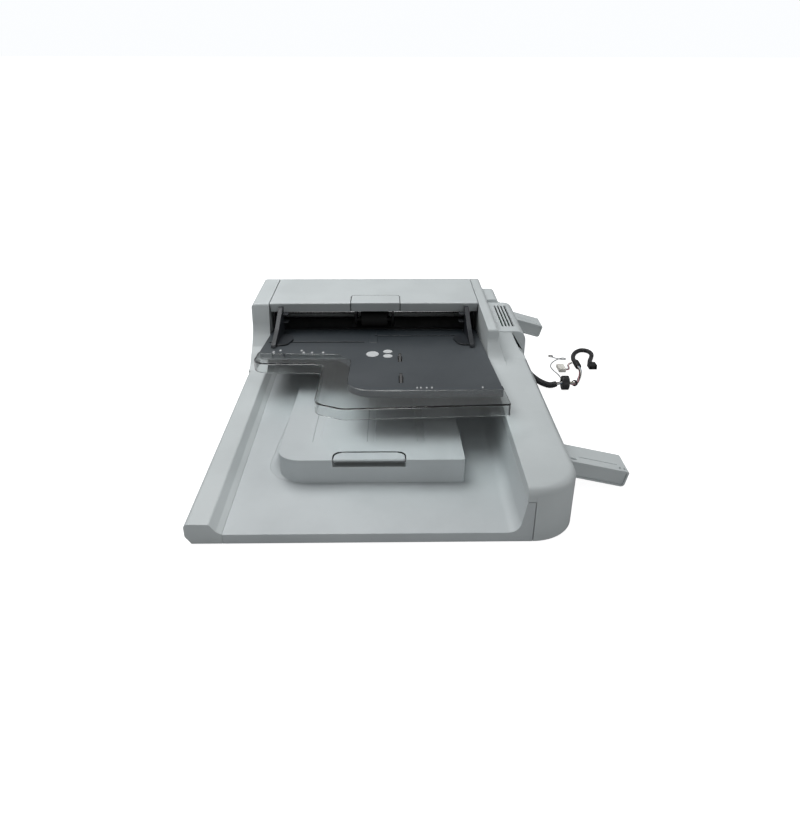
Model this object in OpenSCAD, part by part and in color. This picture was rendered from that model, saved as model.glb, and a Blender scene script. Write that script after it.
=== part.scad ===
// Sheet feeder lid of a wide-format copier, lying on its flat underside.
// The feed head stands at the far end (-X), the open end of the output bin is the near end (+X).
// The user stands at the front (-Y), and the hinge posts leave the rear (+Y).
// All lengths are in millimetres. Z is 0 at the white backing pad that presses on the glass.

/* [Lid] */
// Length of the lid along X
lid_length = 572; // [540:1:600]
// Width of the lid along Y
lid_width = 400; // [380:1:420]
// Height of the feed head
head_top = 106.3; // [100:0.1:112]
// Thickness of the moulded walls
wall = 2.5; // [2:0.1:3]
// Height of the front rail
rail_top = 25; // [22:0.5:30]
// Height of the rear deck
deck_top = 64.5; // [60:0.5:70]
// Radius of the near corner of the rear deck
deck_corner = 48; // [30:1:60]

/* [Bins] */
// Slope of the input tray, in degrees
tray_slope = 6.634; // [4:0.1:9]
// Height of the output floor
floor_top = 12.2; // [11:0.1:14]
// Height of the front edge of the raised platform
platform_top = 41.7; // [36:0.1:46]
// Thickness of the tray plates
tray_plate = 2.5; // [2:0.1:3]

/* [Feed] */
// Radius of the feed roller
feed_r = 12; // [10:0.5:14]
// Radius of the pickup roller
pickup_r = 10; // [8:0.5:12]
// Radius of the turning roller
drum_r = 16; // [14:0.5:18]
// Radius of the exit roller
exit_r = 9; // [8:0.5:10]
// Radius of the main shafts
shaft_r = 3; // [2.5:0.1:4]

/* [Hidden] */
$fn = 40;
x_far = -lid_length / 2;
x_near = lid_length / 2;
y_front = -lid_width / 2;
y_rear = lid_width / 2;
// Lower edge of the outer walls, just above the pad's face
skirt_z = 1;

// Feed head
head_near = -154.4;
cheek_in = -173.7;
post_in = 142.1;
post_out = 157.7;
post_near = -42;
bin_far = -148;
cover_front = -172.7;
cover_rear = 141.2;
cover_hinge = [-278.7, 99];
latch_y = [-50.7, 23];
latch_back = -192.6;

// Output bin
seam_front = -162.3;
seam_rear = 151.5;
seam_z = 48.3;
platform_near = 192;
platform_y = [-120, 91];
platform_start = -130;
stop_y = [-56, 24];
stop_x = [170, 189];
stop_pivot = [187.5, 39.3];

// Rear side
vent_x = [-205, -78];
vent_y = 202;
vent_top = 90;
// Fairing between housing and deck, as [x, z, y of its outer edge]
fairing = [[-79, 89.6, 181], [-69.5, 80, 185], [-61, 73, 189], [-53, 68.4, 192.5],
           [-45, 65.6, 195.5], [-37, 64, 197]];
bump_x = [-262, -205];
bump_y = 180;
bump_top = 95;
post_x = [[152, 190], [-274, -236]];
post_drop = [13, 16];
post_pivot = [[186, 32.7], [186, 49]];
post_reach = [92, 76];

// Rollers and gears, as [x, z]
floor_z = 61;
drum_c = [-244, 30];
feed_c = [-212, 73.497];
pickup_c = [-180, 71.5];
exit_c = [-168, 38];
exit_pinch_c = [-168, 22.7];
turn_pinch_c = [-265.4, 30];
paper_y = -16;
teeth_drum_a = 52;
teeth_feed = 56;
teeth_drum_b = 30;
teeth_idler = 44;
teeth_exit = 36;
teeth_reduction = 48;
teeth_motor = 16;
idler_c = third_corner(drum_c, 37, exit_c, 40);
reduction_c = exit_c + 42 * [cos(25.2), sin(25.2)];
motor_c = reduction_c + 32 * [cos(-32.5), sin(-32.5)];
layer_a = [146.5, 150.5];
layer_b = [157, 161.5];

// Width guides, in tray coordinates
guide_y = [-152, 120];
slot_front_u = 75.5;
slot_rear_u = 41.3;
pinion_u = 58.4;
pinion_teeth = 24;

// Materials
shell_grey = [0.78, 0.80, 0.80];
tray_grey = [0.24, 0.26, 0.27];
guide_grey = [0.15, 0.17, 0.19];
inner_black = [0.07, 0.07, 0.08];
steel = [0.68, 0.69, 0.70];
rubber_grey = [0.16, 0.16, 0.17];
gear_white = [0.90, 0.90, 0.86];
pad_white = [0.95, 0.95, 0.94];
clear_smoke = [0.75, 0.77, 0.76, 0.4];

// Route points of the cords that lie on the table, [x, y, z]
sleeve_d = 9;
sleeve_route = [[-151, 192, 12], [-151, 205, 12], [-145, 214, 8.5], [-131, 220, 5],
                [-110, 224, 4.8], [-90, 232, 4.8], [-77, 243, 5.4], [-74, 253, 9],
                [-74, 260, 10.5]];
wires_d = 5;
wires_route = [[-74, 264, 10.5], [-74, 271, 10.3], [-79, 279, 6.6], [-90, 287, 3.2],
               [-103, 293, 2.7], [-118, 299, 2.7], [-132, 302.5, 3.6], [-144, 302.5, 5]];
branch_d = 7;
branch_route = [[-162, 302.5, 5], [-174, 302, 3.8], [-190, 305, 3.6], [-206, 313, 3.6],
                [-215, 324, 3.6], [-211, 334, 3.6], [-198, 337, 3.6], [-182, 332, 3.6],
                [-170, 327, 3.7], [-163, 326, 3.7], [-158.5, 326, 3.7]];
lead_d = 3.2;
lead_route = [[-161, 296.7, 5], [-160.3, 292.5, 3.4], [-155, 289, 2.7], [-146, 288, 2.7],
              [-140.2, 286, 2.8], [-139, 281.5, 3]];
ground_d = 1.6;
ground_route = [[-84.6, 265, 10.5], [-89, 265.5, 8], [-95, 267, 3.5], [-107, 268, 1.1], [-124, 267, 0.9],
                [-144, 262, 0.9], [-158, 262, 0.9], [-172, 268, 0.9], [-184, 279, 0.9],
                [-189, 288, 0.9], [-184, 292, 1.4], [-179, 286, 2.6], [-184, 277, 2.4],
                [-194, 271, 1]];

// Unit vector
function unit(v) = v / norm(v);

// Points of the arc that rounds corner P between its neighbours A and B
function corner_arc(A, P, B, r, n) =
  r <= 0 ? [P] :
  let (a = unit(A - P), b = unit(B - P), half = acos(a * b) / 2,
       c = P + unit(a + b) * r / sin(half),
       s = P + a * r / tan(half) - c, e = P + b * r / tan(half) - c,
       a0 = atan2(s[1], s[0]), raw = atan2(e[1], e[0]) - a0,
       turn = raw > 180 ? raw - 360 : (raw < -180 ? raw + 360 : raw))
  [for (i = [0:n]) c + r * [cos(a0 + turn * i / n), sin(a0 + turn * i / n)]];

// Outline whose corners [x, y, r] are rounded by r
function rounded(p, n = 6) =
  [for (i = [0:len(p) - 1])
    let (m = len(p), A = p[(i + m - 1) % m], P = p[i], B = p[(i + 1) % m])
    each corner_arc([A[0], A[1]], [P[0], P[1]], [B[0], B[1]], P[2] == undef ? 0 : P[2], n)];

// Corner of a triangle that lies ra from A and rb from B, above the line
function third_corner(A, ra, B, rb) =
  let (d = norm(B - A), base = atan2(B[1] - A[1], B[0] - A[0]),
       open = acos((ra * ra + d * d - rb * rb) / (2 * ra * d)))
  A + ra * [cos(base + open), sin(base + open)];

// Direction from A to B in degrees
function bearing(A, B) = atan2(B[1] - A[1], B[0] - A[0]);

// Angle of the first tooth of gear B so that it meshes with gear A, seen at angle phi
function mesh_angle(angle_a, teeth_a, phi, teeth_b) =
  phi + 180 - (0.5 - (phi - angle_a) * teeth_a / 360) * 360 / teeth_b;

// Distance along the sloping tray of a point with that x
function along_tray(x) = (x + 164) / cos(tray_slope);

// Smooth curve through four points
function curve(a, b, c, d, t) =
  0.5 * (2 * b + (c - a) * t + (2 * a - 5 * b + 4 * c - d) * t * t
         + (3 * b - a - 3 * c + d) * t * t * t);

// Points along a route, n between each pair
function smooth(p, n) = concat(
  [for (i = [0:len(p) - 2]) for (k = [0:n - 1])
    curve(p[max(i - 1, 0)], p[i], p[i + 1], p[min(i + 2, len(p) - 1)], k / n)],
  [p[len(p) - 1]]);

// Extrudes a (y, z) outline from xa to xb
module along_x(xa, xb) {
  translate([xa, 0, 0]) rotate([90, 0, 90]) linear_extrude(xb - xa) children();
}

// Extrudes an (x, z) outline from ya to yb
module along_y(ya, yb) {
  translate([0, yb, 0]) rotate([90, 0, 0]) linear_extrude(yb - ya) children();
}

// Extrudes an (x, y) outline from za to zb
module upward(za, zb) {
  translate([0, 0, za]) linear_extrude(zb - za) children();
}

// Box between two corners
module box(a, b) {
  translate(a) cube(b - a);
}

// Round bar along Y at c = [x, z]
module bar_y(c, r, ya, yb) {
  translate([c[0], yb, c[1]]) rotate([90, 0, 0]) cylinder(r = r, h = yb - ya);
}

// Round bar along X at c = [y, z]
module bar_x(c, r, xa, xb) {
  translate([xa, c[0], c[1]]) rotate([0, 90, 0]) cylinder(r = r, h = xb - xa);
}

// Tray coordinates: u along the slope, Y as usual, w square to the plate
module on_tray() {
  translate([-164, 0, 61.3]) rotate([0, -tray_slope, 0]) children();
}

// Spur gear outline, module 1, first tooth at angle a
module gear_outline(teeth, a, bore) {
  r = teeth / 2;
  step = 360 / teeth;
  root = r - 1.15;
  tip = r + 0.75;
  difference() {
    polygon([for (i = [0:teeth - 1])
      let (c = a + i * step, wr = 0.98 / root * 57.3, wt = 0.3 / tip * 57.3)
      each [root * [cos(c - wr), sin(c - wr)], tip * [cos(c - wt), sin(c - wt)],
            tip * [cos(c + wt), sin(c + wt)], root * [cos(c + wr), sin(c + wr)]]]);
    circle(r = bore);
  }
}

// Spur gear about a shaft along Y at c = [x, z]
module gear_y(c, teeth, a, ya, yb, bore) {
  translate([c[0], yb, c[1]]) rotate([90, 0, 0]) linear_extrude(yb - ya)
    gear_outline(teeth, a, bore);
}

// Closed tube along smoothed points
module tube(points, d, sides) {
  n = len(points);
  rings = [for (i = [0:n - 1])
    let (t = unit(points[min(i + 1, n - 1)] - points[max(i - 1, 0)]),
         side = unit(cross(t, [0, 0, 1])), up = cross(side, t))
    for (k = [0:sides - 1])
      points[i] + d / 2 * (cos(360 * k / sides) * side + sin(360 * k / sides) * up)];
  walls = [for (i = [0:n - 2]) for (k = [0:sides - 1])
    let (a = i * sides + k, b = i * sides + (k + 1) % sides)
    [a, b, b + sides, a + sides]];
  start = [[for (k = [sides - 1:-1:0]) k]];
  end = [[for (k = [0:sides - 1]) (n - 1) * sides + k]];
  polyhedron(rings, concat(walls, start, end), convexity = 10);
}

// ---------------------------------------------------------------- fixed shell

// Bottom plate that ties the outer mouldings together
module base_frame() color(inner_black) difference() {
  union() {
    box([-283, -161.8, 2.6], [283, 141.6, 5]);
    difference() {
      box([-283, -161.8, 4], [283, 141.6, 9]);
      box([-280.5, -159.3, 3], [280.5, 139.1, 10]);
    }
    for (y = [-95, -15, 65])
      box([-140, y, 4], [281, y + 2, 9]);
    for (x = [-140, 0, 140])
      box([x, -160, 4], [x + 2, 140, 9]);
    for (p = base_screws)
      translate([p[0], p[1], 4]) cylinder(r = 5, h = 5.7);
  }
  box([-260, -144, 2], [-243, 126, 6]);
  for (p = base_screws) {
    translate([p[0], p[1], 1]) cylinder(r = 1.5, h = 12);
    translate([p[0], p[1], 1]) cylinder(r = 3.2, h = 3.3);
  }
}
base_screws = [[-132, -152], [60, -152], [262, -152], [-132, 118], [60, 118], [262, 118]];

// Outline of the cheek beside the feed head, [x, z, r]
cheek_side = [[-286, skirt_z], [-90, skirt_z], [-90, 24.9], [-103, 28, 12], [-119, 40, 10],
              [-130, 47, 10], [-149, 66, 30], [-154, head_top, 4], [-286, head_top, 7]];
cheek_side_in = [[-283.5, -1], [-93, -1], [-93, 22], [-104, 25.4], [-121, 37.6], [-132.6, 45],
                 [-151.5, 64], [-156.4, 103.8], [-283.5, 103.8, 5]];

// Front rail with the cheek that closes the front of the head, and the cover's front pin
module front_rail() color(shell_grey) {
  bar_y(cover_hinge, 2, cheek_in, -168);
  front_shell();
}
module front_shell() difference() {
  intersection() {
    front_plan(0);
    union() {
      along_x(-151, x_near) polygon(rounded([[-194, skirt_z], [y_front, 10, 4],
        [y_front, rail_top, 5], [-174.5, rail_top - 0.5, 3], [-168, 16, 8],
        [seam_front, floor_top], [seam_front, skirt_z]]));
      along_x(x_far, -150) polygon(rounded([[-194, skirt_z], [y_front, 10, 4],
        [y_front, rail_top], [cheek_in, rail_top], [cheek_in, skirt_z]]));
      intersection() {
        along_y(y_front, cheek_in) polygon(rounded(cheek_side));
        along_x(x_far, -89) polygon(rounded([[-194, skirt_z], [y_front, 10, 4],
          [y_front, head_top, 6], [cheek_in, head_top], [cheek_in, skirt_z]]));
      }
    }
  }
  along_x(-280, 283.5) polygon([[-191, -1], [-197.5, 11], [-197.5, rail_top - 3],
    [-176.4, rail_top - 3], [-176.4, -1]]);
  along_x(-147.5, 283.5) polygon([[-177, -1], [-177, 20], [-172, 16.4], [-169.5, 13],
    [-164.8, 9.7], [-164.8, -1]]);
  intersection() {
    front_plan(wall);
    along_y(-197.5, -176.2) polygon(rounded(cheek_side_in));
    along_x(-284, -89) polygon([[-191, -1], [-197.5, 11], [-197.5, 99], [-193, 103.8],
      [-176.2, 103.8], [-176.2, -1]]);
  }
}

// Plan of the front rail with its round far corner, shrunk by d
module front_plan(d) {
  upward(-3, head_top + 3) polygon(rounded([[x_far + d, y_front + d, 13 - d],
    [x_near + 1, y_front + d], [x_near + 1, 0], [x_far + d, 0]]));
}

// Section of the bin from the front seam to the rear seam, [y, z, r]
bin_top = [[seam_front, floor_top], [137.4, floor_top, 13], [143.2, seam_z],
           [seam_rear, seam_z]];

// Output bin with the raised platform
module output_bin() color(shell_grey) difference() {
  union() {
    difference() {
      union() {
        along_x(bin_far, x_near) polygon(rounded([each bin_top, [seam_rear, skirt_z],
          [seam_rear - wall, skirt_z], [seam_rear - wall, seam_z - wall],
          [145.3, seam_z - wall], [139.6, floor_top - wall, 14],
          [seam_front, floor_top - wall]]));
        along_x(283.5, x_near) polygon(rounded([each bin_top, [seam_rear, skirt_z],
          [seam_front, skirt_z]]));
        platform_block(0);
        intersection() {
          platform_foot();
          platform_wedge(0);
        }
      }
      platform_block(wall);
    }
    // Pocket that holds the output stop
    box([166.5, stop_y[0] - 3.5, 30.6], [191.9, stop_y[1] + 3.5, 39]);
  }
  // Shallow grooves that keep sheets from sticking
  for (y = [-79, -15, 44])
    intersection() {
      groove_plan(y);
      translate([0, 0, -0.9]) difference() {
        box([-128, -200, 10], [150, 200, 60]);
        platform_wedge(0);
      }
    }
  // Recess and slot of the output stop
  upward(33.4, 50) polygon(rounded([[169.4, stop_y[0] - 0.8, 12], [195, stop_y[0] - 0.8],
    [195, stop_y[1] + 0.8], [169.4, stop_y[1] + 0.8, 12]]));
  box([182, stop_y[0] - 0.8, 32.6], [195, stop_y[1] + 0.8, 50]);
  bar_y(stop_pivot, 1.15, stop_y[0] - 4, stop_y[1] + 4);
  for (p = base_screws)
    translate([p[0], p[1], 7]) cylinder(r = 1.2, h = 4.4);
}

// Sloping solid under the platform's top, lowered by d
module platform_wedge(d) {
  along_y(-200, 200) polygon([[platform_start, 2], [platform_start, floor_top - d],
    [platform_near, platform_top - d], [platform_near, 2]]);
}

// Platform solid, shrunk by d on every side
module platform_block(d) {
  intersection() {
    upward(d > 0 ? 3 : floor_top - wall, 60) polygon(rounded([
      [platform_start + d, platform_y[0] + d], [platform_near - d, platform_y[0] + d, 28 - d],
      [platform_near - d, platform_y[1] - d, 3], [platform_start + d, platform_y[1] - d]]));
    platform_wedge(d);
  }
}

// Flared foot round the front corner of the platform, [radius, z]; it runs out into both sides
foot_side = [[12, 11.5], [41, 11.5], [41, 12.4], [36.8, 14.5], [33, 19], [30, 26], [27.2, 36],
             [12, 36]];
foot_turn = 4;
module platform_foot() translate([150.7, -92.3, 0]) {
  rotate([0, 0, -90 - foot_turn]) rotate_extrude(angle = 90 + foot_turn, $fn = 90)
    polygon(foot_side);
  rotate([0, 0, -foot_turn]) along_x(-215, 0)
    polygon([for (p = foot_side) [-p[0], p[1]]]);
}

// Plan of one groove
module groove_plan(y) {
  upward(5, 60) polygon(rounded([[-120, y - 4.5], [146, y - 4.5, 4.4],
    [146, y + 4.5, 4.4], [-120, y + 4.5]]));
}

// Section of the rear deck outside r = 0 at y = 152, [r, z, radius]
deck_out = [[0, skirt_z], [deck_corner, skirt_z], [deck_corner, deck_top, 9], [0, deck_top]];

// Rear deck with the post beside the head, the drive housing and the cover's rear pin
module rear_deck() color(shell_grey) {
  bar_y(cover_hinge, 2, 136.4, post_in);
  rear_shell();
}
module rear_shell() difference() {
  union() {
    along_x(x_far, x_near - deck_corner) translate([y_rear - deck_corner, 0])
      polygon(rounded(deck_out));
    translate([x_near - deck_corner, y_rear - deck_corner, 0])
      rotate_extrude(angle = 90, $fn = 72) polygon(rounded(deck_out));
    along_y(seam_rear + 0.2, y_rear - deck_corner) polygon(rounded([[x_far, skirt_z],
      [x_near, skirt_z], [x_near, deck_top, 9], [x_far, deck_top]]));
    along_y(143, seam_rear + 0.3) polygon(rounded([[x_far, seam_z + 0.4],
      [x_near, seam_z + 0.4], [x_near, deck_top, 9], [x_far, deck_top]]));
    box([x_far, post_in, skirt_z], [bin_far - 0.5, 153, deck_top]);
    // Post
    intersection() {
      along_y(post_in, 168) polygon(rounded([[x_far, seam_z + 0.4], [-10, seam_z + 0.4],
        [-10, deck_top - 0.4], [-18, 65.2], [-24.5, 67.8], [-30, 72], [-35, 78.2],
        [post_near, 90, 14], [post_near, head_top, 4], [x_far, head_top, 7]]));
      along_x(x_far, -9) polygon(rounded([[post_in, seam_z + 0.4], [post_in, head_top],
        [post_out, head_top, 6], [post_out, 88, 12], [167, deck_top - 1], [167, seam_z + 0.4]]));
    }
    // Vented housing and the low bump behind it
    along_x(vent_x[0], vent_x[1]) polygon(rounded([[post_out - 2, 60], [vent_y - 12, 60],
      [vent_y - 12, 30], [vent_y, 30, 3], [vent_y, vent_top, 14],
      [post_out - 2, vent_top]]));
    along_x(bump_x[0], bump_x[1]) polygon(rounded([[post_out - 2, 60], [bump_y, 60],
      [bump_y, bump_top, 7], [post_out - 2, bump_top]]));
    // Fairing from the housing down to the deck
    for (i = [0:4]) hull()
      for (f = [fairing[i], fairing[i + 1]])
        box([f[0] - 0.5, post_out - 3, 50], [f[0], f[2], f[1]]);
  }
  // Inside
  along_x(x_far + wall, x_near - deck_corner) translate([y_rear - deck_corner + 2.5, 0])
    polygon([[0, -2], [deck_corner - 5, -2], [deck_corner - 5, deck_top - wall - 5],
             [deck_corner - 10, deck_top - wall], [0, deck_top - wall]]);
  intersection() {
    translate([x_near - deck_corner, y_rear - deck_corner, 0])
      rotate_extrude(angle = 90, $fn = 72) polygon([[0, -2], [deck_corner - 2.5, -2],
        [deck_corner - 2.5, deck_top - 7.5], [deck_corner - 7.5, deck_top - wall],
        [0, deck_top - wall]]);
    box([x_near - deck_corner - 1, 154.5, -3], [x_near, y_rear, deck_top]);
  }
  along_x(-140, 282) polygon([[146, seam_z + 3], [155, seam_z + 3], [155, deck_top - wall],
    [146, deck_top - wall]]);
  box([x_far + wall, 144.6, -1], [-150.5, 156, deck_top]);
  box([x_far + wall, 144.6, 50], [-46, 155.2, head_top - wall]);
  along_x(-202.5, -80.5) polygon([[150, 52], [188, 52], [188, 33], [199.5, 33],
    [199.5, vent_top - 11.5],
    [190.5, vent_top - wall], [150, vent_top - wall]]);
  along_x(-259.5, -207.5) polygon([[150, 52], [177.5, 52], [177.5, bump_top - 6],
    [174, bump_top - wall], [150, bump_top - wall]]);
  // Cooling slots
  for (i = [0:3])
    box([-190, 170.4 + 4.9 * i, 80], [-98, 172.8 + 4.9 * i, 95]);
  // Shaft holes through the inner wall
  for (c = [drum_c, feed_c, exit_c])
    bar_y(c, shaft_r + 0.6, post_in - 1, 146);
  // Openings for the hinge posts
  for (i = [0, 1])
    box([post_x[i][0] - 2, 170, -2], [post_x[i][1] + 2, 206, post_pivot[i][1] + 10.4]);
  // Hole for the cable grommet
  translate([-151, 210, 12]) rotate([90, 0, 0]) cylinder(r = 8, h = 20);
}

// Far end wall under the cover's hinge
module end_cover() color(shell_grey) {
  box([x_far, cover_front, skirt_z], [x_far + wall, cover_rear, 91]);
  for (y = [-120, -15, 90])
    box([x_far + wall, y, 9.3], [-279.6, y + 2, 70]);
}

// White backing pad that presses the sheet on the glass
module platen_pad() color(pad_white)
  upward(0, 2.6) polygon(rounded([[-230, -147, 3], [278, -147, 3], [278, 129, 3], [-230, 129, 3]]));

// White strip above the scanning slit
module reading_guide() color(pad_white)
  box([-266, -146, 0.6], [-237, 128, 2.6]);

// Four rubber bumpers under the corners
module bumpers() color(rubber_grey)
  for (x = [-275, 272], y = [-153.5, 135.5])
    translate([x, y, 0]) cylinder(r = 5, h = 2.6);

// Screws from the bottom plate up into the bin
module case_screws() color(steel)
  for (p = base_screws)
    translate([p[0], p[1], 2.8]) difference() {
      union() {
        cylinder(r = 2.8, h = 1.5);
        cylinder(r = 1.2, h = 8);
      }
      translate([0, 0, -1]) cylinder(r = 1, h = 1.8);
    }

// ---------------------------------------------------------------- feed frame

// Steel plate that carries the shafts, with holes at the listed centres
module side_plate(ya, yb) {
  difference() {
    along_y(ya, yb) polygon(rounded([[-281, 6], [-156, 6], [-156, 46, 3], [-169, 49.5],
      [-169, 86, 4], [-272, 86, 8], [-281, 70]]));
    for (c = [drum_c, feed_c, exit_c])
      bar_y(c, shaft_r + 0.05, ya - 1, yb + 1);
  }
}

// Steel frame of the head: two side plates tied by a bar
module side_frame() color(steel) {
  side_plate(-170.4, -168.8);
  side_plate(137.4, 139);
  box([-279, -168.8, 76], [-267, 137.4, 77.6]);
}

// Outer gear plate with the shelf of the control board
module gear_plate() color(steel) {
  difference() {
    union() {
      along_y(163, 164.4) polygon(rounded([[-264, 12, 4], [-84, 12, 4], [-84, 60, 4],
        [-112, 84, 6], [-150, 84, 6], [-201.5, 66.5], [-202, 59], [-264, 59, 6]]));
      box([-196, 164, 66], [-112, 190, 67.2]);
    }
    for (c = [drum_c, exit_c])
      bar_y(c, shaft_r + 0.05, 162, 166);
    bar_y(motor_c, 5, 162, 166);
  }
  bar_y(idler_c, 3, 156.4, 163.2);
  bar_y(reduction_c, 3, 156.4, 163.2);
}

// Floor under the mouth that leads sheets to the feed roller
module lower_guide() color(inner_black) {
  // Seat of the friction pad
  box([-221, -39, 52], [-203, 7, 60.2]);
  box([-214, -46, 56], [-204, 14, 57.5]);
  difference() {
    union() {
      along_y(-168.8, 137.4) polygon([[-168.5, floor_z], [-214, floor_z], [-233, 49.5],
        [-233, 47], [-215, 57.5], [-168.5, 57.5]]);
      for (y = [-150, -106, 60, 110])
        along_y(y, y + 2) polygon([[-170, 58], [-214, 58], [-214, 52], [-170, 46]]);
    }
    box([-222, -40, 40], [-202, 8, 70]);
  }
}

// Curved outer guide that turns the sheet round the roller, with the pinch bearings
module turn_guide() color(inner_black) {
  difference() {
    along_y(-168.8, 137.4) polygon([
      each [for (i = [0:20]) drum_c + 20 * [cos(84 + 8.9 * i), sin(84 + 8.9 * i)]],
      each [for (i = [20:-1:0]) drum_c + 22 * [cos(84 + 8.9 * i), sin(84 + 8.9 * i)]]]);
    for (y = [-90, -30, 30])
      box([-275, y - 13, 20], [-255, y + 13, 40]);
    box([-268, -108, 27.5], [-262, 50, 32.5]);
  }
  difference() {
    for (y = [-108, 48])
      box([-279.6, y, 24], [-261, y + 2, 36]);
    bar_y(turn_pinch_c, 1.55, -110, 52);
  }
}

// Guide that leads sheets out over the platform, with the exit pinch bearings
module exit_guide() color(inner_black) {
  difference() {
    along_y(-168.8, 137.4) polygon([[-222, 11.5], [-196, 14], [-156, 27.5], [-151, 27.5],
      [-151, 25.4], [-156, 25], [-196, 11.8], [-222, 9.3]]);
    for (y = [-90, -30, 30])
      box([-176, y - 11, 5], [-160, y + 11, 40]);
    box([-171, -106, 18], [-165, 49, 27]);
  }
  for (y = [-104, 44]) difference() {
    box([-174, y, 16], [-162, y + 3, 22]);
    bar_y(exit_pinch_c, 2.05, y - 1, y + 4);
  }
  for (y = [-104, 44])
    along_y(y, y + 3) polygon([[-196, 6], [-150.5, 6], [-150.5, 15], [-174, 16], [-196, 10]]);
}

// Friction pad under the feed roller
module separation_pad() color(rubber_grey)
  box([-219, -36, 60.2], [-205, 4, 61.2]);

// Drive motor behind the gear plate
module drive_motor() color(steel) {
  bar_y(motor_c, 18, 164.4, 190);
  bar_y(motor_c, 4.6, 161.7, 164.5);
}

// Control board with its parts
module control_board() color([0.10, 0.35, 0.22]) {
  for (x = [-192, -118], y = [168, 186])
    translate([x, y, 67.2]) cylinder(r = 2, h = 3.8);
  box([-196, 165, 71], [-114, 190, 72.6]);
  box([-190, 182, 72.6], [-160, 189, 79]);
  box([-150, 182, 72.6], [-130, 189, 79]);
  box([-172, 167, 72.6], [-152, 178, 74.4]);
}

// Steel brackets that hold the hinge pins
module hinge_brackets() color(steel)
  for (i = [0, 1])
    difference() {
      union() {
        box([post_x[i][0] - 4.5, 166, 60.4], [post_x[i][1] + 4.5, 192, 62]);
        for (x = [post_x[i][0] - 4.5, post_x[i][1] + 2.9])
          along_x(x, x + 1.6) polygon(rounded([[168, 61], [192, 61], [196, 57], [196, 24, 6],
            [178, 24, 6]]));
      }
      bar_x(post_pivot[i], 3, post_x[i][0] - 6, post_x[i][1] + 6);
    }
module hinge_pins() color(steel)
  for (i = [0, 1])
    bar_x(post_pivot[i], 3, post_x[i][0] - 4.5, post_x[i][1] + 4.5);

// Rubber grommet in the rear wall
module cable_grommet() color(rubber_grey) difference() {
  union() {
    translate([-151, 203, 12]) rotate([90, 0, 0]) cylinder(r = 8, h = 7.5);
    translate([-151, 202, 12]) rotate([90, 0, 0]) cylinder(r = 9.5, h = 2);
  }
  translate([-151, 205, 12]) rotate([90, 0, 0]) cylinder(r = 5, h = 12);
}

// ---------------------------------------------------------------- cover and latch

// Jam cover over the feed path; its far edge is a round bar about the hinge axis
module jam_cover() color(shell_grey) difference() {
  union() {
    along_y(cover_front, cover_rear) polygon(rounded([[-271.4, 103.8], [-271.4, 91.7, 7.2],
      [-286, 91.7, 7.2], [-286, head_top, 7.2], [head_near, head_top, 1.5], [-163, 90],
      [-165.7, 90], [-157.6, 103.8]]));
    for (y = [cover_front, cover_rear - 2])
      along_y(y, y + 2) polygon([[-274, 104.5], [-274, 93.5], [-230, 92], [-222, 97],
        [-170, 97], [-165.4, 91], [-157, 104.5]]);
    // Pocket round the latch
    box([latch_back - 4, latch_y[0] - 3, 99], [latch_back - 2, latch_y[1] + 3, 104.5]);
  }
  upward(80, 120) polygon(rounded([[latch_back - 0.8, latch_y[0] - 0.8, 6.8],
    [-140, latch_y[0] - 0.8], [-140, latch_y[1] + 0.8], [latch_back - 0.8, latch_y[1] + 0.8, 6.8]]));
  bar_y(cover_hinge, 2.06, cover_front - 1, -167.5);
  bar_y(cover_hinge, 2.06, 136, cover_rear + 1);
}

// Ribbed guide inside the cover that presses sheets to the floor
module upper_guide() color(inner_black) {
  for (y = [-150, -110, -70, 40, 80, 120])
    along_y(y, y + 2) polygon([[-258, 103.8], [-258, 96], [-232, 90], [-200, 88],
      [-196, 103.8]]);
  box([-240, -150, 99.8], [-236, 122, 103.8]);
}

// Latch in the cover's front edge
module cover_latch() color(shell_grey) {
  intersection() {
    along_y(latch_y[0], latch_y[1]) polygon([[latch_back, head_top], [-154.6, head_top],
      [-163.1, 90.2], [-165.7, 90.2], [-158.4, 103.8], [latch_back, 103.8]]);
    upward(80, 120) polygon(rounded([[latch_back, latch_y[0], 6], [-140, latch_y[0]],
      [-140, latch_y[1]], [latch_back, latch_y[1], 6]]));
  }
  for (y = [latch_y[0] + 1, latch_y[1] - 3])
    along_y(y, y + 2) polygon([[-187, 104], [-160, 104], [-165, 94], [-164, 91],
      [-171, 91], [-175, 100.5], [-187, 101.5]]);
}

// ---------------------------------------------------------------- feed rollers

// Arm that carries the pickup roller, free on the feed shaft
module pick_arm() color(inner_black) {
  for (y = [-46, 11])
    difference() {
      along_y(y, y + 3) polygon(rounded([[-220, 66, 5], [-220, 90, 6], [-168, 90, 5],
        [-172, 64, 6], [-188, 64, 6], [-200, 70, 6], [-206, 65, 5]]));
      bar_y(feed_c, shaft_r + 0.05, y - 1, y + 4);
      bar_y(pickup_c, 2.55, y - 1, y + 4);
    }
  box([-214, -43.5, 87.6], [-172, 11.5, 89.6]);
}

// Pickup roller with its stub shafts
module pickup_roller() color(rubber_grey) {
  bar_y(pickup_c, pickup_r, -36, 4);
  bar_y(pickup_c, 2.5, -46, 14);
}

// Feed roller, its shaft and gear
module feed_roller() color(rubber_grey) difference() {
  bar_y(feed_c, feed_r, -38, 6);
  bar_y(feed_c, shaft_r, -39, 7);
}
module feed_shaft() color(steel) bar_y(feed_c, shaft_r, -171, 151);
module feed_gear() color(gear_white)
  gear_y(feed_c, teeth_feed, feed_tooth, layer_a[0], layer_a[1], shaft_r);

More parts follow.
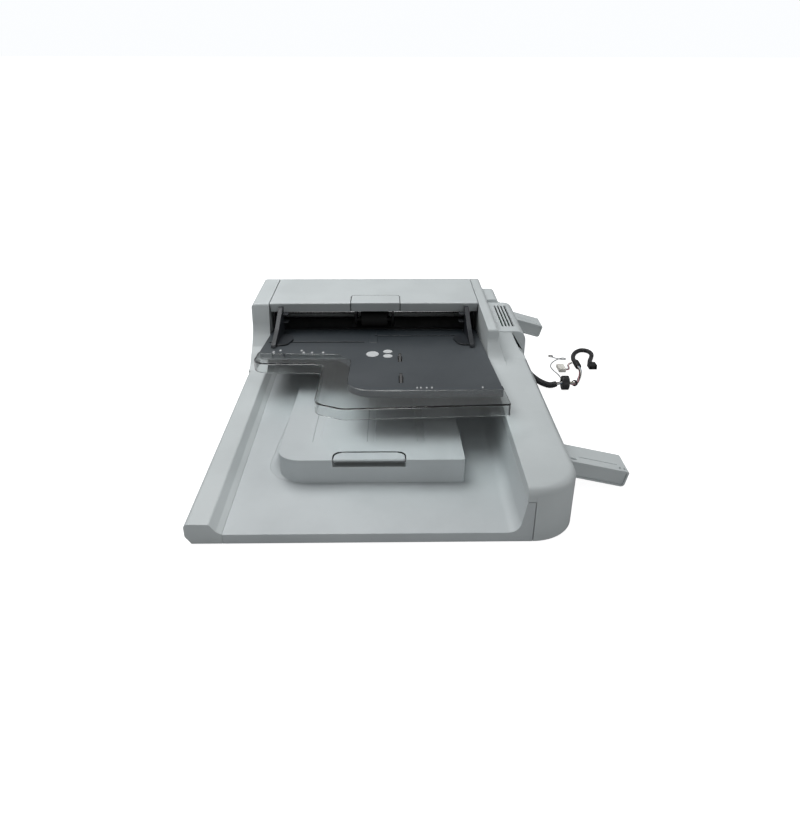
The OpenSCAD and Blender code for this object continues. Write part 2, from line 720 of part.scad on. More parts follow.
// Turning roller, its shaft and double gear
module drum_roller() color(rubber_grey)
  for (y = [-90, -30, 30])
    difference() {
      bar_y(drum_c, drum_r, y - 12, y + 12);
      bar_y(drum_c, 8, y - 13, y + 13);
    }
module drum_shaft() color(steel) {
  bar_y(drum_c, shaft_r, -171, 166);
  for (y = [-90, -30, 30])
    bar_y(drum_c, 8, y - 12, y + 12);
}
module drum_gear() color(gear_white) {
  gear_y(drum_c, teeth_drum_a, 0, layer_a[0], layer_a[1], shaft_r);
  difference() {
    bar_y(drum_c, 7, layer_a[1], layer_b[0]);
    bar_y(drum_c, shaft_r, layer_a[1] - 1, layer_b[0] + 1);
  }
  gear_y(drum_c, teeth_drum_b, 0, layer_b[0], layer_b[1], shaft_r);
}

// Gear angles that put every pair in mesh at rest
feed_tooth = mesh_angle(0, teeth_drum_a, bearing(drum_c, feed_c), teeth_feed);
idler_tooth = mesh_angle(0, teeth_drum_b, bearing(drum_c, idler_c), teeth_idler);
exit_tooth = mesh_angle(idler_tooth, teeth_idler, bearing(idler_c, exit_c), teeth_exit);
reduction_tooth = mesh_angle(exit_tooth, teeth_exit, bearing(exit_c, reduction_c),
                             teeth_reduction);
motor_tooth = mesh_angle(reduction_tooth, teeth_reduction, bearing(reduction_c, motor_c),
                         teeth_motor);

module idler_gear() color(gear_white)
  gear_y(idler_c, teeth_idler, idler_tooth, layer_b[0], layer_b[1], 3.05);
module reduction_gear() color(gear_white)
  gear_y(reduction_c, teeth_reduction, reduction_tooth, layer_b[0], layer_b[1], 3.05);
module motor_pinion() color(gear_white)
  gear_y(motor_c, teeth_motor, motor_tooth, layer_b[0], layer_b[1] - 0.1, 0);

// Exit roller, its shaft and gear
module exit_roller() color(rubber_grey)
  for (y = [-90, -30, 30])
    difference() {
      bar_y(exit_c, exit_r, y - 10, y + 10);
      bar_y(exit_c, shaft_r, y - 11, y + 11);
    }
module exit_shaft() color(steel) bar_y(exit_c, shaft_r, -171, 166);
module exit_gear() color(gear_white)
  gear_y(exit_c, teeth_exit, exit_tooth, layer_b[0], layer_b[1], shaft_r);

// Free rollers that press the sheet
module exit_pinch() color(gear_white) {
  bar_y(exit_pinch_c, 2, -105, 48);
  for (y = [-90, -30, 30])
    bar_y(exit_pinch_c, 6, y - 9, y + 9);
}
module turn_pinch() color(gear_white) {
  bar_y(turn_pinch_c, 1.5, -105, 47);
  for (y = [-90, -30, 30])
    bar_y(turn_pinch_c, 5, y - 11, y + 11);
}

// ---------------------------------------------------------------- input tray

// Plan of the dark tray, [u, y, r]
tray_plan = [[0, -171.5], [along_tray(-34), -171.5, 6], [along_tray(-27), -62, 8],
             [along_tray(2), -43.5, 24], [along_tray(124), -43.5, 34], [along_tray(124), 139.8],
             [0, 139.8]];
// Plan of the clear edge, outside; the last points lie under the dark tray
edge_plan = [[along_tray(-42), -173, 6], [along_tray(14), -173, 22], [along_tray(16), -94, 4],
             [along_tray(20), -80, 14], [along_tray(40), -78.5, 6], [along_tray(165), -77, 22],
             [along_tray(184), -44, 20], [along_tray(172.5), 140.5, 3], [along_tray(110), 140.5],
             [along_tray(110), -20], [along_tray(-34), -45], [along_tray(-42), -90]];

// Dark input tray
module input_tray() color(tray_grey) on_tray() difference() {
  union() {
    upward(-tray_plate, 0) polygon(rounded(tray_plan));
    difference() {
      upward(-11, -1) polygon(rounded(tray_plan));
      upward(-12, 0) polygon(rounded(tray_inside));
    }
    // Tongues that hook under the floor of the head
    for (y = [-140, 118])
      box([-9, y, -6], [3, y + 10, -3.9]);
    // Ears of the sheet flags
    for (u = flag_u, y = [15.6, 24.6])
      box([u + 5.5, y, -8.5], [u + 11.5, y + 1.8, -1]);
    // Ridge over the guide pinion
    box([6, paper_y - 5.5, -0.5], [80, paper_y + 5.5, 0.6]);
  }
  // Slots of the width guides
  box([slot_front_u - 2.6, -166, -4], [slot_front_u + 2.6, -29, 1]);
  box([slot_rear_u - 2.6, -14, -4], [slot_rear_u + 2.6, 133, 1]);
  // Slots and pin holes of the sheet flags
  for (u = flag_u) {
    box([u - 15.5, 18.4, -4], [u + 13, 23.6, 1]);
    translate([u + 8.5, 30, -5.5]) rotate([90, 0, 0]) cylinder(r = 1.25, h = 18);
  }
}
flag_u = [along_tray(-2), along_tray(85)];

// Inside of the dark tray's skirt, [u, y, r]
tray_inside = [[1.8, -169.3], [along_tray(-36.3), -169.3, 4], [along_tray(-29.3), -60, 10],
  [along_tray(0), -41.2, 22], [along_tray(121.7), -41.2, 32], [along_tray(121.7), 137.6],
  [1.8, 137.6]];

// Clear edge piece round the near side of the tray
module tray_edge() color(clear_smoke) on_tray() difference() {
  union() {
    upward(-2.2, 0) polygon(rounded(edge_plan));
    difference() {
      upward(-14, -1) polygon(rounded(edge_plan));
      upward(-15, -0.5) polygon(rounded([[along_tray(-60), -171], [along_tray(12), -171, 20],
        [along_tray(14), -94, 5], [along_tray(18.5), -78.2, 15], [along_tray(40), -76.4, 6],
        [along_tray(163.5), -75, 20], [along_tray(182), -44, 18], [along_tray(170.5), 150],
        [along_tray(-60), 150]]));
    }
  }
  upward(-16, 1) polygon(rounded(tray_plan));
}

// Cover under the tray that closes the guide mechanism
module tray_underside() color(inner_black) on_tray() {
  difference() {
    union() {
      box([6, -168.6, -11], [126, 137, -9.4]);
      upward(-11, -9.4) polygon(rounded([[125, -40.4], [along_tray(119.5), -40.4, 31],
        [along_tray(119.5), 137], [125, 137]]));
    }
    for (y = [-100, 70])
      translate([pinion_u + 40, y, -12]) cylinder(r = 1.6, h = 4);
  }
  translate([pinion_u, paper_y, -10]) cylinder(r = 3, h = 6);
  for (y = [-100, 70])
    difference() {
      translate([pinion_u + 40, y, -9.4]) cylinder(r = 3.6, h = 6.9);
      translate([pinion_u + 40, y, -9.6]) cylinder(r = 1.6, h = 4);
    }
}

// Fin of a width guide, [u, w, r]
fin = [[13, 0.5], [110, 0.5, 2], [107, 5, 4], [70, 16.5, 60], [23, 38.8, 3], [13.5, 38.8, 2]];
// Thicker band along the fin's sloping edge
fin_edge = [[14, 38.8], [14, 36.6], [22.2, 36.2, 2], [69, 13.5, 60], [104, 3.2, 2], [108, 1.2],
            [109.8, 1.2], [107, 5, 4], [70, 16.5, 60], [23, 38.8, 3]];

// Width guide with fin face y = f; k points to the sheet, slot_u is its slot
module width_guide(f, k, slot_u) on_tray() {
  along_y(min(f, f - 4.4 * k), max(f, f - 4.4 * k)) polygon(rounded(fin));
  along_y(min(f, f - 6.4 * k), max(f, f - 6.4 * k)) polygon(rounded(fin_edge));
  upward(0.4, 2.2) polygon(rounded([[40, f - k], [98, f - k, 2], [97, f + 14 * k, 12],
    [66, f + 20 * k, 14], [44, f + 15 * k, 10]]));
  // Lips that hold curled sheets down
  for (w = [17, 28])
    between([15, f - k, w], [28, f + 8 * k, w + 2]);
  // Neck through the slot and slider below the plate
  between([slot_u - 2.2, f - k, -3.2], [slot_u + 2.2, f + 9 * k, 1]);
  between([slot_u - 5, f - k, -5.6], [slot_u + 5, f + 12 * k, -2.9]);
}

// Box between any two opposite corners
module between(a, b) {
  box([min(a[0], b[0]), min(a[1], b[1]), min(a[2], b[2])],
      [max(a[0], b[0]), max(a[1], b[1]), max(a[2], b[2])]);
}

// Rack of module 1 with pitch line u0 and teeth from tooth ka to kb; dir is the teeth's side
module rack(u0, dir, ya, yb, ka, kb) on_tray() {
  between([u0 - dir * 1.0, ya, -8.4], [u0 - dir * 4.6, yb, -4.2]);
  upward(-8.4, -4.2) for (k = [ka:kb]) {
    y = paper_y + 3.14159 * (k + 0.5);
    polygon([[u0 - dir * 1.3, y - 0.95], [u0 + dir * 0.75, y - 0.3],
             [u0 + dir * 0.75, y + 0.3], [u0 - dir * 1.3, y + 0.95]]);
  }
}

module width_guide_front() color(guide_grey) {
  width_guide(guide_y[0], 1, slot_front_u);
  rack(pinion_u + 12, -1, guide_y[0], -1, -27, 3);
}
module width_guide_rear() color(guide_grey) {
  width_guide(guide_y[1], -1, slot_rear_u);
  rack(pinion_u - 12, 1, -31, guide_y[1], -4, 26);
}

// Pinion that makes the two guides move by the same amount
module guide_pinion() color(gear_white) on_tray() upward(-8.2, -4.4)
  translate([pinion_u, paper_y]) gear_outline(pinion_teeth, 0, 3.05);

// Sheet flag that lies in tray slot u
module sheet_flag(u) color(inner_black) on_tray() {
  along_y(19.2, 22.8) polygon([[u + 11, -8], [u + 11.5, -4], [u + 7, -2.4], [u - 7.5, 4.8],
    [u - 11.5, 4.4], [u - 11.5, 2], [u - 7, -1.5], [u + 6, -8]]);
  translate([u + 8.5, 27, -5.5]) rotate([90, 0, 0]) cylinder(r = 1.2, h = 12);
}
module sheet_flag_far() sheet_flag(flag_u[0]);
module sheet_flag_near() sheet_flag(flag_u[1]);

// ---------------------------------------------------------------- stop and hinge posts

// Flap that flips up at the front of the platform to stop sheets
module output_stop() color(shell_grey) {
  intersection() {
    along_y(stop_y[0], stop_y[1]) polygon([[172.4, 37.5], [172.4, 39.8], [189.5, 41.4],
      [190.6, 40.4], [190.6, 38.8], [188.5, 37.9]]);
    upward(30, 50) polygon(rounded([[172.4, stop_y[0], 11], [195, stop_y[0]],
      [195, stop_y[1]], [172.4, stop_y[1], 11]]));
  }
  bar_y(stop_pivot, 1.1, stop_y[0] - 3, stop_y[1] + 3);
}

// Post that drops into the machine and carries the lid
module hinge_post(i) color(shell_grey)
  translate([0, post_pivot[i][0], post_pivot[i][1]]) rotate([-post_drop[i], 0, 0])
  difference() {
    along_x(post_x[i][0], post_x[i][1]) polygon(rounded([[-10.2, -10, 9.9], [-10.2, 10, 9.9],
      [post_reach[i], 10, 2], [post_reach[i], -10, 4]]));
    box([post_x[i][0] + 3, 18, -12], [post_x[i][1] - 3, post_reach[i] - 3, 7]);
    bar_x([0, 0], 3.05, post_x[i][0] - 1, post_x[i][1] + 1);
  }
module hinge_post_near() hinge_post(0);
module hinge_post_far() hinge_post(1);

// ---------------------------------------------------------------- cords

module harness_sleeve() color(rubber_grey) tube(smooth(sleeve_route, 4), sleeve_d, 12);
module ferrite_core() color(rubber_grey) difference() {
  translate([-74, 270, 10.5]) rotate([90, 0, 0]) cylinder(r = 10.5, h = 10);
  translate([-74, 271, 10.5]) rotate([90, 0, 0]) cylinder(r = 4.6, h = 12);
}
module wire_bundle() color([0.55, 0.55, 0.55]) tube(smooth(wires_route, 4), wires_d, 10);
module cable_tie() color(rubber_grey) translate([-82, 281.5, 6]) rotate([90, 0, 48])
  difference() {
    cylinder(r = 4.6, h = 2.6, center = true);
    cylinder(r = 3.3, h = 4, center = true);
  }
module branch_sleeve() color(rubber_grey) {
  bar_x([302.5, 5], 5, -162, -144);
  tube(smooth(branch_route, 4), branch_d, 12);
}
module branch_plug() color(rubber_grey) box([-158.5, 320, 0.2], [-144, 332, 7.2]);
module connector_lead() color([0.5, 0.48, 0.48]) tube(smooth(lead_route, 4), lead_d, 8);
module flat_connector() color([0.86, 0.80, 0.80]) box([-154, 270, 0.1], [-134, 281, 6.1]);
module ground_wire() color([0.45, 0.46, 0.47]) {
  tube(smooth(ground_route, 3), ground_d, 8);
  translate([-198, 270.5, 0.1]) difference() {
    cylinder(r = 4, h = 1);
    translate([0, 0, -1]) cylinder(r = 2, h = 3);
  }
}

/* [Output] */
// Sub-part to draw, or all of them

/* [Hidden] */

base_frame();
output_bin();
front_rail();
rear_deck();
end_cover();
platen_pad();
reading_guide();
bumpers();
case_screws();
side_frame();
gear_plate();
lower_guide();
separation_pad();
turn_guide();
exit_guide();
drive_motor();
control_board();
hinge_brackets();
hinge_pins();
cable_grommet();
input_tray();
tray_edge();
tray_underside();
jam_cover();
upper_guide();
cover_latch();
pick_arm();
pickup_roller();
feed_roller();
feed_shaft();
feed_gear();
drum_roller();
drum_shaft();
drum_gear();
idler_gear();
reduction_gear();
motor_pinion();
exit_roller();
exit_shaft();
exit_gear();
exit_pinch();
turn_pinch();
width_guide_front();
width_guide_rear();
guide_pinion();
sheet_flag_far();
sheet_flag_near();
output_stop();
hinge_post_near();
hinge_post_far();
harness_sleeve();
ferrite_core();
wire_bundle();
cable_tie();
branch_sleeve();
branch_plug();
connector_lead();
flat_connector();
ground_wire();
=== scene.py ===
# %% [markdown]
# # Sheet feeder lid of a wide-format copier
# This lesson gives a finished look to a lid that was built as exact solids.
# The frame holds every solid as a named node, in metres, and each node already knows
# which moving body it belongs to. The lid's user side is -Y, its feed head stands at -X,
# and its white pad would press on the glass at z = 0.

# %% Load the frame
import math
import bpy
from mathutils import Matrix, Vector
from mathutils.bvhtree import BVHTree


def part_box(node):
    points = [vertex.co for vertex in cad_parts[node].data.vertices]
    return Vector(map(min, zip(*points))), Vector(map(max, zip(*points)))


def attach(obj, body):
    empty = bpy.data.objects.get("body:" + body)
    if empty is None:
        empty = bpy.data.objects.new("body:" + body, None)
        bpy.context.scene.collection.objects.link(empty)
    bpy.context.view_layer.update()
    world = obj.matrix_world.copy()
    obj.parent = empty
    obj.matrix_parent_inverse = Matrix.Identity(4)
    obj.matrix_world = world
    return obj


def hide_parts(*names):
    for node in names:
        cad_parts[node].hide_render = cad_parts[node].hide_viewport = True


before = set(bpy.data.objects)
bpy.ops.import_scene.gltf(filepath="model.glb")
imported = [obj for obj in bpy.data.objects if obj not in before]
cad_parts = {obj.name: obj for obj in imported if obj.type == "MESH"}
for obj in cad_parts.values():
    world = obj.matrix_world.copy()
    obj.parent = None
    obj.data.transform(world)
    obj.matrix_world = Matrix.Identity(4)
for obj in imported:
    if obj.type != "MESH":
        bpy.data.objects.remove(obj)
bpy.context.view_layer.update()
MM = 0.001      # sizes below are written in millimetres and turned to metres with this

# %% [markdown]
# The camera stands at the open end of the lid, about 0.86 m from its middle, and looks
# down at it by 27 degrees. A camera turns about the vertical first, then about its own
# side, and last about its own line of sight, and three matrices in that order say so. The
# last turn is almost nothing, so upright edges stay upright.

# %% Camera
EYE_PLACE = (0.8564, 0.0074, 0.4460)
EYE_HEADING, EYE_TILT, EYE_ROLL = 89.075, 62.71, 0.116      # degrees
EYE_LENS = 30.71                                            # mm of focal length

bpy.ops.object.select_all(action="DESELECT")
bpy.ops.object.camera_add(location=EYE_PLACE)
camera = bpy.context.object
camera.name = "eye"
heading = Matrix.Rotation(math.radians(EYE_HEADING), 4, "Z")
tilt = Matrix.Rotation(math.radians(EYE_TILT), 4, "X")
roll = Matrix.Rotation(math.radians(EYE_ROLL), 4, "Z")
camera.matrix_world = Matrix.Translation(camera.location) @ heading @ tilt @ roll
camera.data.lens = EYE_LENS
camera.data.clip_start = 0.01
bpy.context.scene.camera = camera
print("camera lens", camera.data.lens)

# %% [markdown]
# Colours are written as the hex values that a paint shop would give. Blender works with
# linear light, so one function turns each of them. A second function adds one shader node
# with its settings and links, and all the finishes below are made with it. A third starts
# a finish: it sets the plain values on the shader itself, and hands back the node tree and
# the object's own coordinates, which every pattern reads.

# %% Colour and node helpers
def linear(hex_code, alpha=1.0):
    parts = [int(hex_code[i:i + 2], 16) / 255 for i in (1, 3, 5)]
    return tuple(c / 12.92 if c <= 0.04045 else ((c + 0.055) / 1.055) ** 2.4
                 for c in parts) + (alpha,)


def add_node(tree, kind, settings=None, links=None):
    node = tree.nodes.new(kind)
    for key, value in (settings or {}).items():
        if key in node.inputs.keys():
            node.inputs[key].default_value = value
        else:
            setattr(node, key, value)
    for key, source in (links or {}).items():
        tree.links.new(source, node.inputs[key])
    return node


def new_finish(name, hex_code, roughness, **more):
    material = bpy.data.materials.new(name)
    material.use_nodes = True
    tree = material.node_tree
    shader = tree.nodes["Principled BSDF"]
    shader.inputs["Base Color"].default_value = linear(hex_code)
    shader.inputs["Roughness"].default_value = roughness
    for key, value in more.items():
        shader.inputs[key.replace("_", " ")].default_value = value
    place = add_node(tree, "ShaderNodeTexCoord").outputs["Object"]
    return material, tree, shader, place


# %% [markdown]
# Moulded plastic is the main finish. The steel mould is eroded with sparks, which leaves a
# fine grain that breaks up the shine. The grain is about 0.3 mm on the real part, and it is
# drawn here at 1.1 mm so that it shows. A slow change of tone stands for handling and age,
# and the same slow pattern moves the roughness a little.

# %% Moulded plastic finish
def moulded(name, hex_code, hex_worn, roughness, grain=1.1, depth=0.05, slow=90, **more):
    material, tree, shader, place = new_finish(name, hex_code, roughness, **more)
    drift = add_node(tree, "ShaderNodeTexNoise",
                     {"Scale": 1000 / slow, "Detail": 4.0, "Roughness": 0.6},
                     {"Vector": place})
    tone = add_node(tree, "ShaderNodeValToRGB", None, {"Fac": drift.outputs["Fac"]})
    tone.color_ramp.elements[0].position = 0.36
    tone.color_ramp.elements[0].color = linear(hex_worn)
    tone.color_ramp.elements[1].position = 0.6
    tone.color_ramp.elements[1].color = linear(hex_code)
    tree.links.new(tone.outputs["Color"], shader.inputs["Base Color"])
    sheen = add_node(tree, "ShaderNodeMapRange",
                     {"From Min": 0.3, "From Max": 0.7, "To Min": roughness - 0.05,
                      "To Max": roughness + 0.06}, {"Value": drift.outputs["Fac"]})
    tree.links.new(sheen.outputs["Result"], shader.inputs["Roughness"])
    sparks = add_node(tree, "ShaderNodeTexNoise",
                      {"Scale": 1000 / grain, "Detail": 2.0, "Roughness": 0.6},
                      {"Vector": place})
    bump = add_node(tree, "ShaderNodeBump", {"Strength": 0.35, "Distance": depth * MM},
                    {"Height": sparks.outputs["Fac"]})
    tree.links.new(bump.outputs["Normal"], shader.inputs["Normal"])
    return material


shell_abs = moulded("moulded_abs_pale_grey", "#bfc5c6", "#bac0c1", 0.46)
bin_abs = moulded("moulded_abs_bin_grey", "#b9bfc1", "#b3b9bb", 0.42)
dark_abs = moulded("moulded_abs_charcoal", "#44494d", "#404549", 0.40, grain=1.0)
guide_abs = moulded("moulded_abs_blue_black", "#141a20", "#11161b", 0.45, grain=1.0)
coated_sheet = moulded("coated_sheet_black", "#121315", "#0f1011", 0.5, grain=2.0)
black_abs = moulded("moulded_abs_black", "#0e0f11", "#0b0c0e", 0.5)
gear_pom = moulded("moulded_acetal_ivory", "#e4e2d8", "#dddbd0", 0.34, depth=0.01)
nylon_white = moulded("moulded_nylon_natural", "#dcdad4", "#d2cfc8", 0.38, depth=0.02)
plug_black = moulded("moulded_nylon_black", "#17181a", "#121314", 0.40, depth=0.03)
print("plastics made")

# %% [markdown]
# The tray dips under the head, and the plastic lies in the head's shade the nearer it is to the
# mouth.
# Soft lamps alone do not shade it enough, so painted shade, a darker tone, is mixed into the
# finish there. A map range turns the place along X into the share of the plain colour.

# %% Painted shade near the mouth
MOUTH_DARK_X, MOUTH_PLAIN_X = -135, -55      # mm: all dark tone up to here, none from here


def paint_shade_along_x(material, hex_code, x_dark, x_plain):
    tree = material.node_tree
    shader = tree.nodes["Principled BSDF"]
    plain = shader.inputs["Base Color"].links[0].from_socket
    place = add_node(tree, "ShaderNodeTexCoord").outputs["Object"]
    along = add_node(tree, "ShaderNodeSeparateXYZ", None, {"Vector": place}).outputs["X"]
    share = add_node(tree, "ShaderNodeMapRange",
                     {"From Min": x_dark * MM, "From Max": x_plain * MM}, {"Value": along})
    mixed = add_node(tree, "ShaderNodeMix", {"data_type": "RGBA"})
    factor, colour_a, colour_b = mixed.inputs[0], mixed.inputs[6], mixed.inputs[7]
    colour_a.default_value = linear(hex_code)
    tree.links.new(share.outputs["Result"], factor)
    tree.links.new(plain, colour_b)
    tree.links.new(mixed.outputs[2], shader.inputs["Base Color"])


# painted shade: the tray plate darkens towards the mouth and stands in for the head's shade
paint_shade_along_x(dark_abs, "#1f262b", MOUTH_DARK_X, MOUTH_PLAIN_X)
print("tray tone deepened over mm", MOUTH_PLAIN_X - MOUTH_DARK_X)

# %% [markdown]
# The clear edge of the tray is moulded polystyrene, which has almost no colour. Light goes
# through it and bends as in glass, with a usual IOR for a clear plastic, and slow ripples
# left by the flow of the plastic make its reflections wander. A path tracer would give
# such a piece a solid shadow, so shadow rays pass it with a slight loss instead.

# %% Clear plastic finish
clear_ps, tree, shader, place = new_finish("moulded_clear_polystyrene", "#eef1f1", 0.05,
                                           IOR=1.56, Transmission_Weight=1.0)
ripple = add_node(tree, "ShaderNodeTexNoise", {"Scale": 40.0, "Detail": 1.0}, {"Vector": place})
bump = add_node(tree, "ShaderNodeBump", {"Strength": 0.15, "Distance": 0.05 * MM},
                {"Height": ripple.outputs["Fac"]})
tree.links.new(bump.outputs["Normal"], shader.inputs["Normal"])
passing = add_node(tree, "ShaderNodeBsdfTransparent", {"Color": linear("#e8ebeb")})
from_lamp = add_node(tree, "ShaderNodeLightPath").outputs["Is Shadow Ray"]
surface = add_node(tree, "ShaderNodeMixShader", None, {"Fac": from_lamp})
tree.links.new(shader.outputs["BSDF"], surface.inputs[1])
tree.links.new(passing.outputs["BSDF"], surface.inputs[2])
tree.links.new(surface.outputs["Shader"], tree.nodes["Material Output"].inputs["Surface"])
print("clear plastic made")

# %% [markdown]
# Metals keep the default IOR. Zinc plated sheet has faint large grains, and the turned
# shafts carry fine rings from the lathe, which here are noise stretched round the Y axis.

# %% Metal finishes
def metal(name, hex_code, roughness, stretch, scale, strength):
    material, tree, shader, place = new_finish(name, hex_code, roughness, Metallic=1.0)
    axes = add_node(tree, "ShaderNodeMapping", {"Scale": stretch}, {"Vector": place})
    marks = add_node(tree, "ShaderNodeTexNoise", {"Scale": scale, "Detail": 3.0},
                     {"Vector": axes.outputs["Vector"]})
    polish = add_node(tree, "ShaderNodeMapRange",
                      {"To Min": roughness - 0.08, "To Max": roughness + 0.12},
                      {"Value": marks.outputs["Fac"]})
    tree.links.new(polish.outputs["Result"], shader.inputs["Roughness"])
    bump = add_node(tree, "ShaderNodeBump", {"Strength": strength, "Distance": 0.02 * MM},
                    {"Height": marks.outputs["Fac"]})
    tree.links.new(bump.outputs["Normal"], shader.inputs["Normal"])
    return material


zinc_sheet = metal("zinc_plated_sheet", "#b9bcc0", 0.34, (1, 1, 1), 60, 0.2)
turned_steel = metal("turned_steel", "#c4c5c6", 0.26, (0.2, 8, 0.2), 400, 0.3)
tin_plate = metal("tinned_copper", "#c9c7c2", 0.3, (1, 1, 1), 500, 0.3)
print("metals made")

# %% [markdown]
# Feed rollers are ground rubber, dull and slightly pitted. The backing pad is foam under a
# smooth white film. Ferrite is a fired ceramic, almost black, with a dull open grain.

# %% Rubber, film and ferrite finishes
def grained(name, hex_code, roughness, size, strength, **more):
    material, tree, shader, place = new_finish(name, hex_code, roughness, **more)
    pits = add_node(tree, "ShaderNodeTexNoise", {"Scale": 1000 / size, "Detail": 5.0},
                    {"Vector": place})
    dark = tuple(c * 0.8 for c in linear(hex_code)[:3]) + (1.0,)
    tone = add_node(tree, "ShaderNodeValToRGB", None, {"Fac": pits.outputs["Fac"]})
    tone.color_ramp.elements[0].color = dark
    tone.color_ramp.elements[1].color = linear(hex_code)
    tree.links.new(tone.outputs["Color"], shader.inputs["Base Color"])
    bump = add_node(tree, "ShaderNodeBump", {"Strength": strength, "Distance": 0.1 * MM},
                    {"Height": pits.outputs["Fac"]})
    tree.links.new(bump.outputs["Normal"], shader.inputs["Normal"])
    return material


ground_rubber = grained("ground_rubber_dark", "#0d0e0f", 0.85, 1.2, 0.4)
black_rubber = grained("moulded_rubber_black", "#1b1b1c", 0.6, 1.5, 0.3)
white_film = grained("white_polyester_film", "#efefec", 0.36, 30, 0.05)
fired_ferrite = grained("fired_ferrite", "#222325", 0.48, 0.9, 0.35)
green_board = grained("glass_epoxy_board", "#1d5a3a", 0.4, 6, 0.1)
print("soft and fired finishes made")

# %% [markdown]
# A cord is drawn as a tube round a list of points. The points follow a smooth curve through
# a few places on its way, and the tube carries its own map: across is once round the cord,
# and along is the distance in metres, so a braid keeps its pitch whatever the length.

# %% Route and tube helpers
def smooth_route(places, steps):
    p = [Vector(q) * MM for q in places]
    last = len(p) - 1
    line = []
    for i in range(last):
        a, b, c, d = p[max(i - 1, 0)], p[i], p[i + 1], p[min(i + 2, last)]
        for k in range(steps):
            t = k / steps
            line.append(0.5 * (2 * b + (c - a) * t + (2 * a - 5 * b + 4 * c - d) * t * t
                               + (3 * b - a - 3 * c + d) * t * t * t))
    return line + [p[last]]


def length_of(line):
    return sum((b - a).length for a, b in zip(line, line[1:]))


def frames_along(line):
    found = []
    for i, point in enumerate(line):
        ahead = (line[min(i + 1, len(line) - 1)] - line[max(i - 1, 0)]).normalized()
        side = ahead.cross(Vector((0, 0, 1)))
        side = side.normalized() if side.length > 1e-6 else Vector((1, 0, 0))
        found.append((point, side, side.cross(ahead)))
    return found


def tube_data(line, radii, sides):
    points, faces, maps, gone = [], [], [], 0.0
    places = frames_along(line)
    for i, (point, side, up) in enumerate(places):
        gone += (line[i] - line[i - 1]).length if i else 0.0
        for k in range(sides):
            a = 2 * math.pi * k / sides
            points.append(point + radii[i] * (math.cos(a) * side + math.sin(a) * up))
        if i < len(line) - 1:
            step = (line[i + 1] - line[i]).length
            for k in range(sides):
                a, b = i * sides + k, i * sides + (k + 1) % sides
                faces.append((b, a, a + sides, b + sides))
                u = k / sides
                maps.append(((u + 1 / sides, gone), (u, gone), (u, gone + step),
                             (u + 1 / sides, gone + step)))
    first = tuple(range(sides))
    final = tuple((len(line) - 1) * sides + k for k in reversed(range(sides)))
    for cap in (first, final):
        faces.append(cap)
        maps.append(tuple((0.5, gone) for _ in cap))
    return points, faces, maps


def cord_tube(name, tubes, finishes):
    points, faces, maps, looks = [], [], [], []
    for n, (line, radii, sides) in enumerate(tubes):
        p, f, m = tube_data(line, radii, sides)
        start = len(points)
        points += p
        faces += [tuple(start + v for v in face) for face in f]
        maps += m
        looks += [n % len(finishes)] * len(f)
    mesh = bpy.data.meshes.new(name)
    mesh.from_pydata(points, [], faces)
    layer = mesh.uv_layers.new(name="along")
    for polygon, corners, look in zip(mesh.polygons, maps, looks):
        polygon.use_smooth = len(corners) == 4
        polygon.material_index = look
        for loop, corner in zip(polygon.loop_indices, corners):
            layer.data[loop].uv = corner
    for finish in finishes:
        mesh.materials.append(finish)
    piece = bpy.data.objects.new(name, mesh)
    bpy.context.scene.collection.objects.link(piece)
    return piece


# %% [markdown]
# The harness leaves the rear wall in a braided sleeve. Two sets of threads cross at 45
# degrees, about 1 mm apart, and the crossing is drawn with two wave patterns on the
# tube's own map. The single wires are smooth vinyl in plain colours.

# %% Cord finishes
def braided(name, hex_code, round_mm, pitch_mm):
    material, tree, shader, _ = new_finish(name, hex_code, 0.5)
    uv = add_node(tree, "ShaderNodeTexCoord").outputs["UV"]
    heights = []
    for turn in (45, -45):
        axes = add_node(tree, "ShaderNodeMapping",
                        {"Scale": (round_mm, 1000.0, 1.0),
                         "Rotation": (0.0, 0.0, math.radians(turn))}, {"Vector": uv})
        band = add_node(tree, "ShaderNodeTexWave", {"Scale": 0.32 / pitch_mm},
                        {"Vector": axes.outputs["Vector"]})
        heights.append(band.outputs["Fac"])
    weave = add_node(tree, "ShaderNodeMath", {"operation": "MAXIMUM"})
    tree.links.new(heights[0], weave.inputs[0])
    tree.links.new(heights[1], weave.inputs[1])
    tone = add_node(tree, "ShaderNodeValToRGB", None, {"Fac": weave.outputs["Value"]})
    tone.color_ramp.elements[0].color = linear("#050506")
    tone.color_ramp.elements[1].color = linear(hex_code)
    tree.links.new(tone.outputs["Color"], shader.inputs["Base Color"])
    bump = add_node(tree, "ShaderNodeBump", {"Strength": 0.8, "Distance": 0.25 * MM},
                    {"Height": weave.outputs["Value"]})
    tree.links.new(bump.outputs["Normal"], shader.inputs["Normal"])
    return material


sleeve_braid = braided("braided_polyester_sleeve", "#26272a", 28.0, 1.0)
branch_braid = braided("braided_polyester_branch", "#242528", 22.0, 1.0)
wire_colours = {"white": "#d8d6d2", "black": "#1d1d1f", "rose": "#b98a90", "grey": "#8d9092",
                "blue": "#5b6f86", "ivory": "#cfc9b4", "brown": "#5c4436"}
vinyl = {name: moulded("extruded_vinyl_" + name, code, code, 0.32, grain=3.0, depth=0.01)
         for name, code in wire_colours.items()}
vinyl_tape = grained("vinyl_tape_black", "#1a1a1c", 0.42, 3, 0.2)
print("cord finishes", len(vinyl) + 3)

# %% [markdown]
# The sleeve bends down from the grommet to the table, runs along it, and rises into the
# ferrite ring. It stops a little short of the ring, where the wires come out of it, and the
# wires go on through the ring to the taped junction. Seven wires are enough for the bundle:
# six lie round one, and all six turn slowly about it.

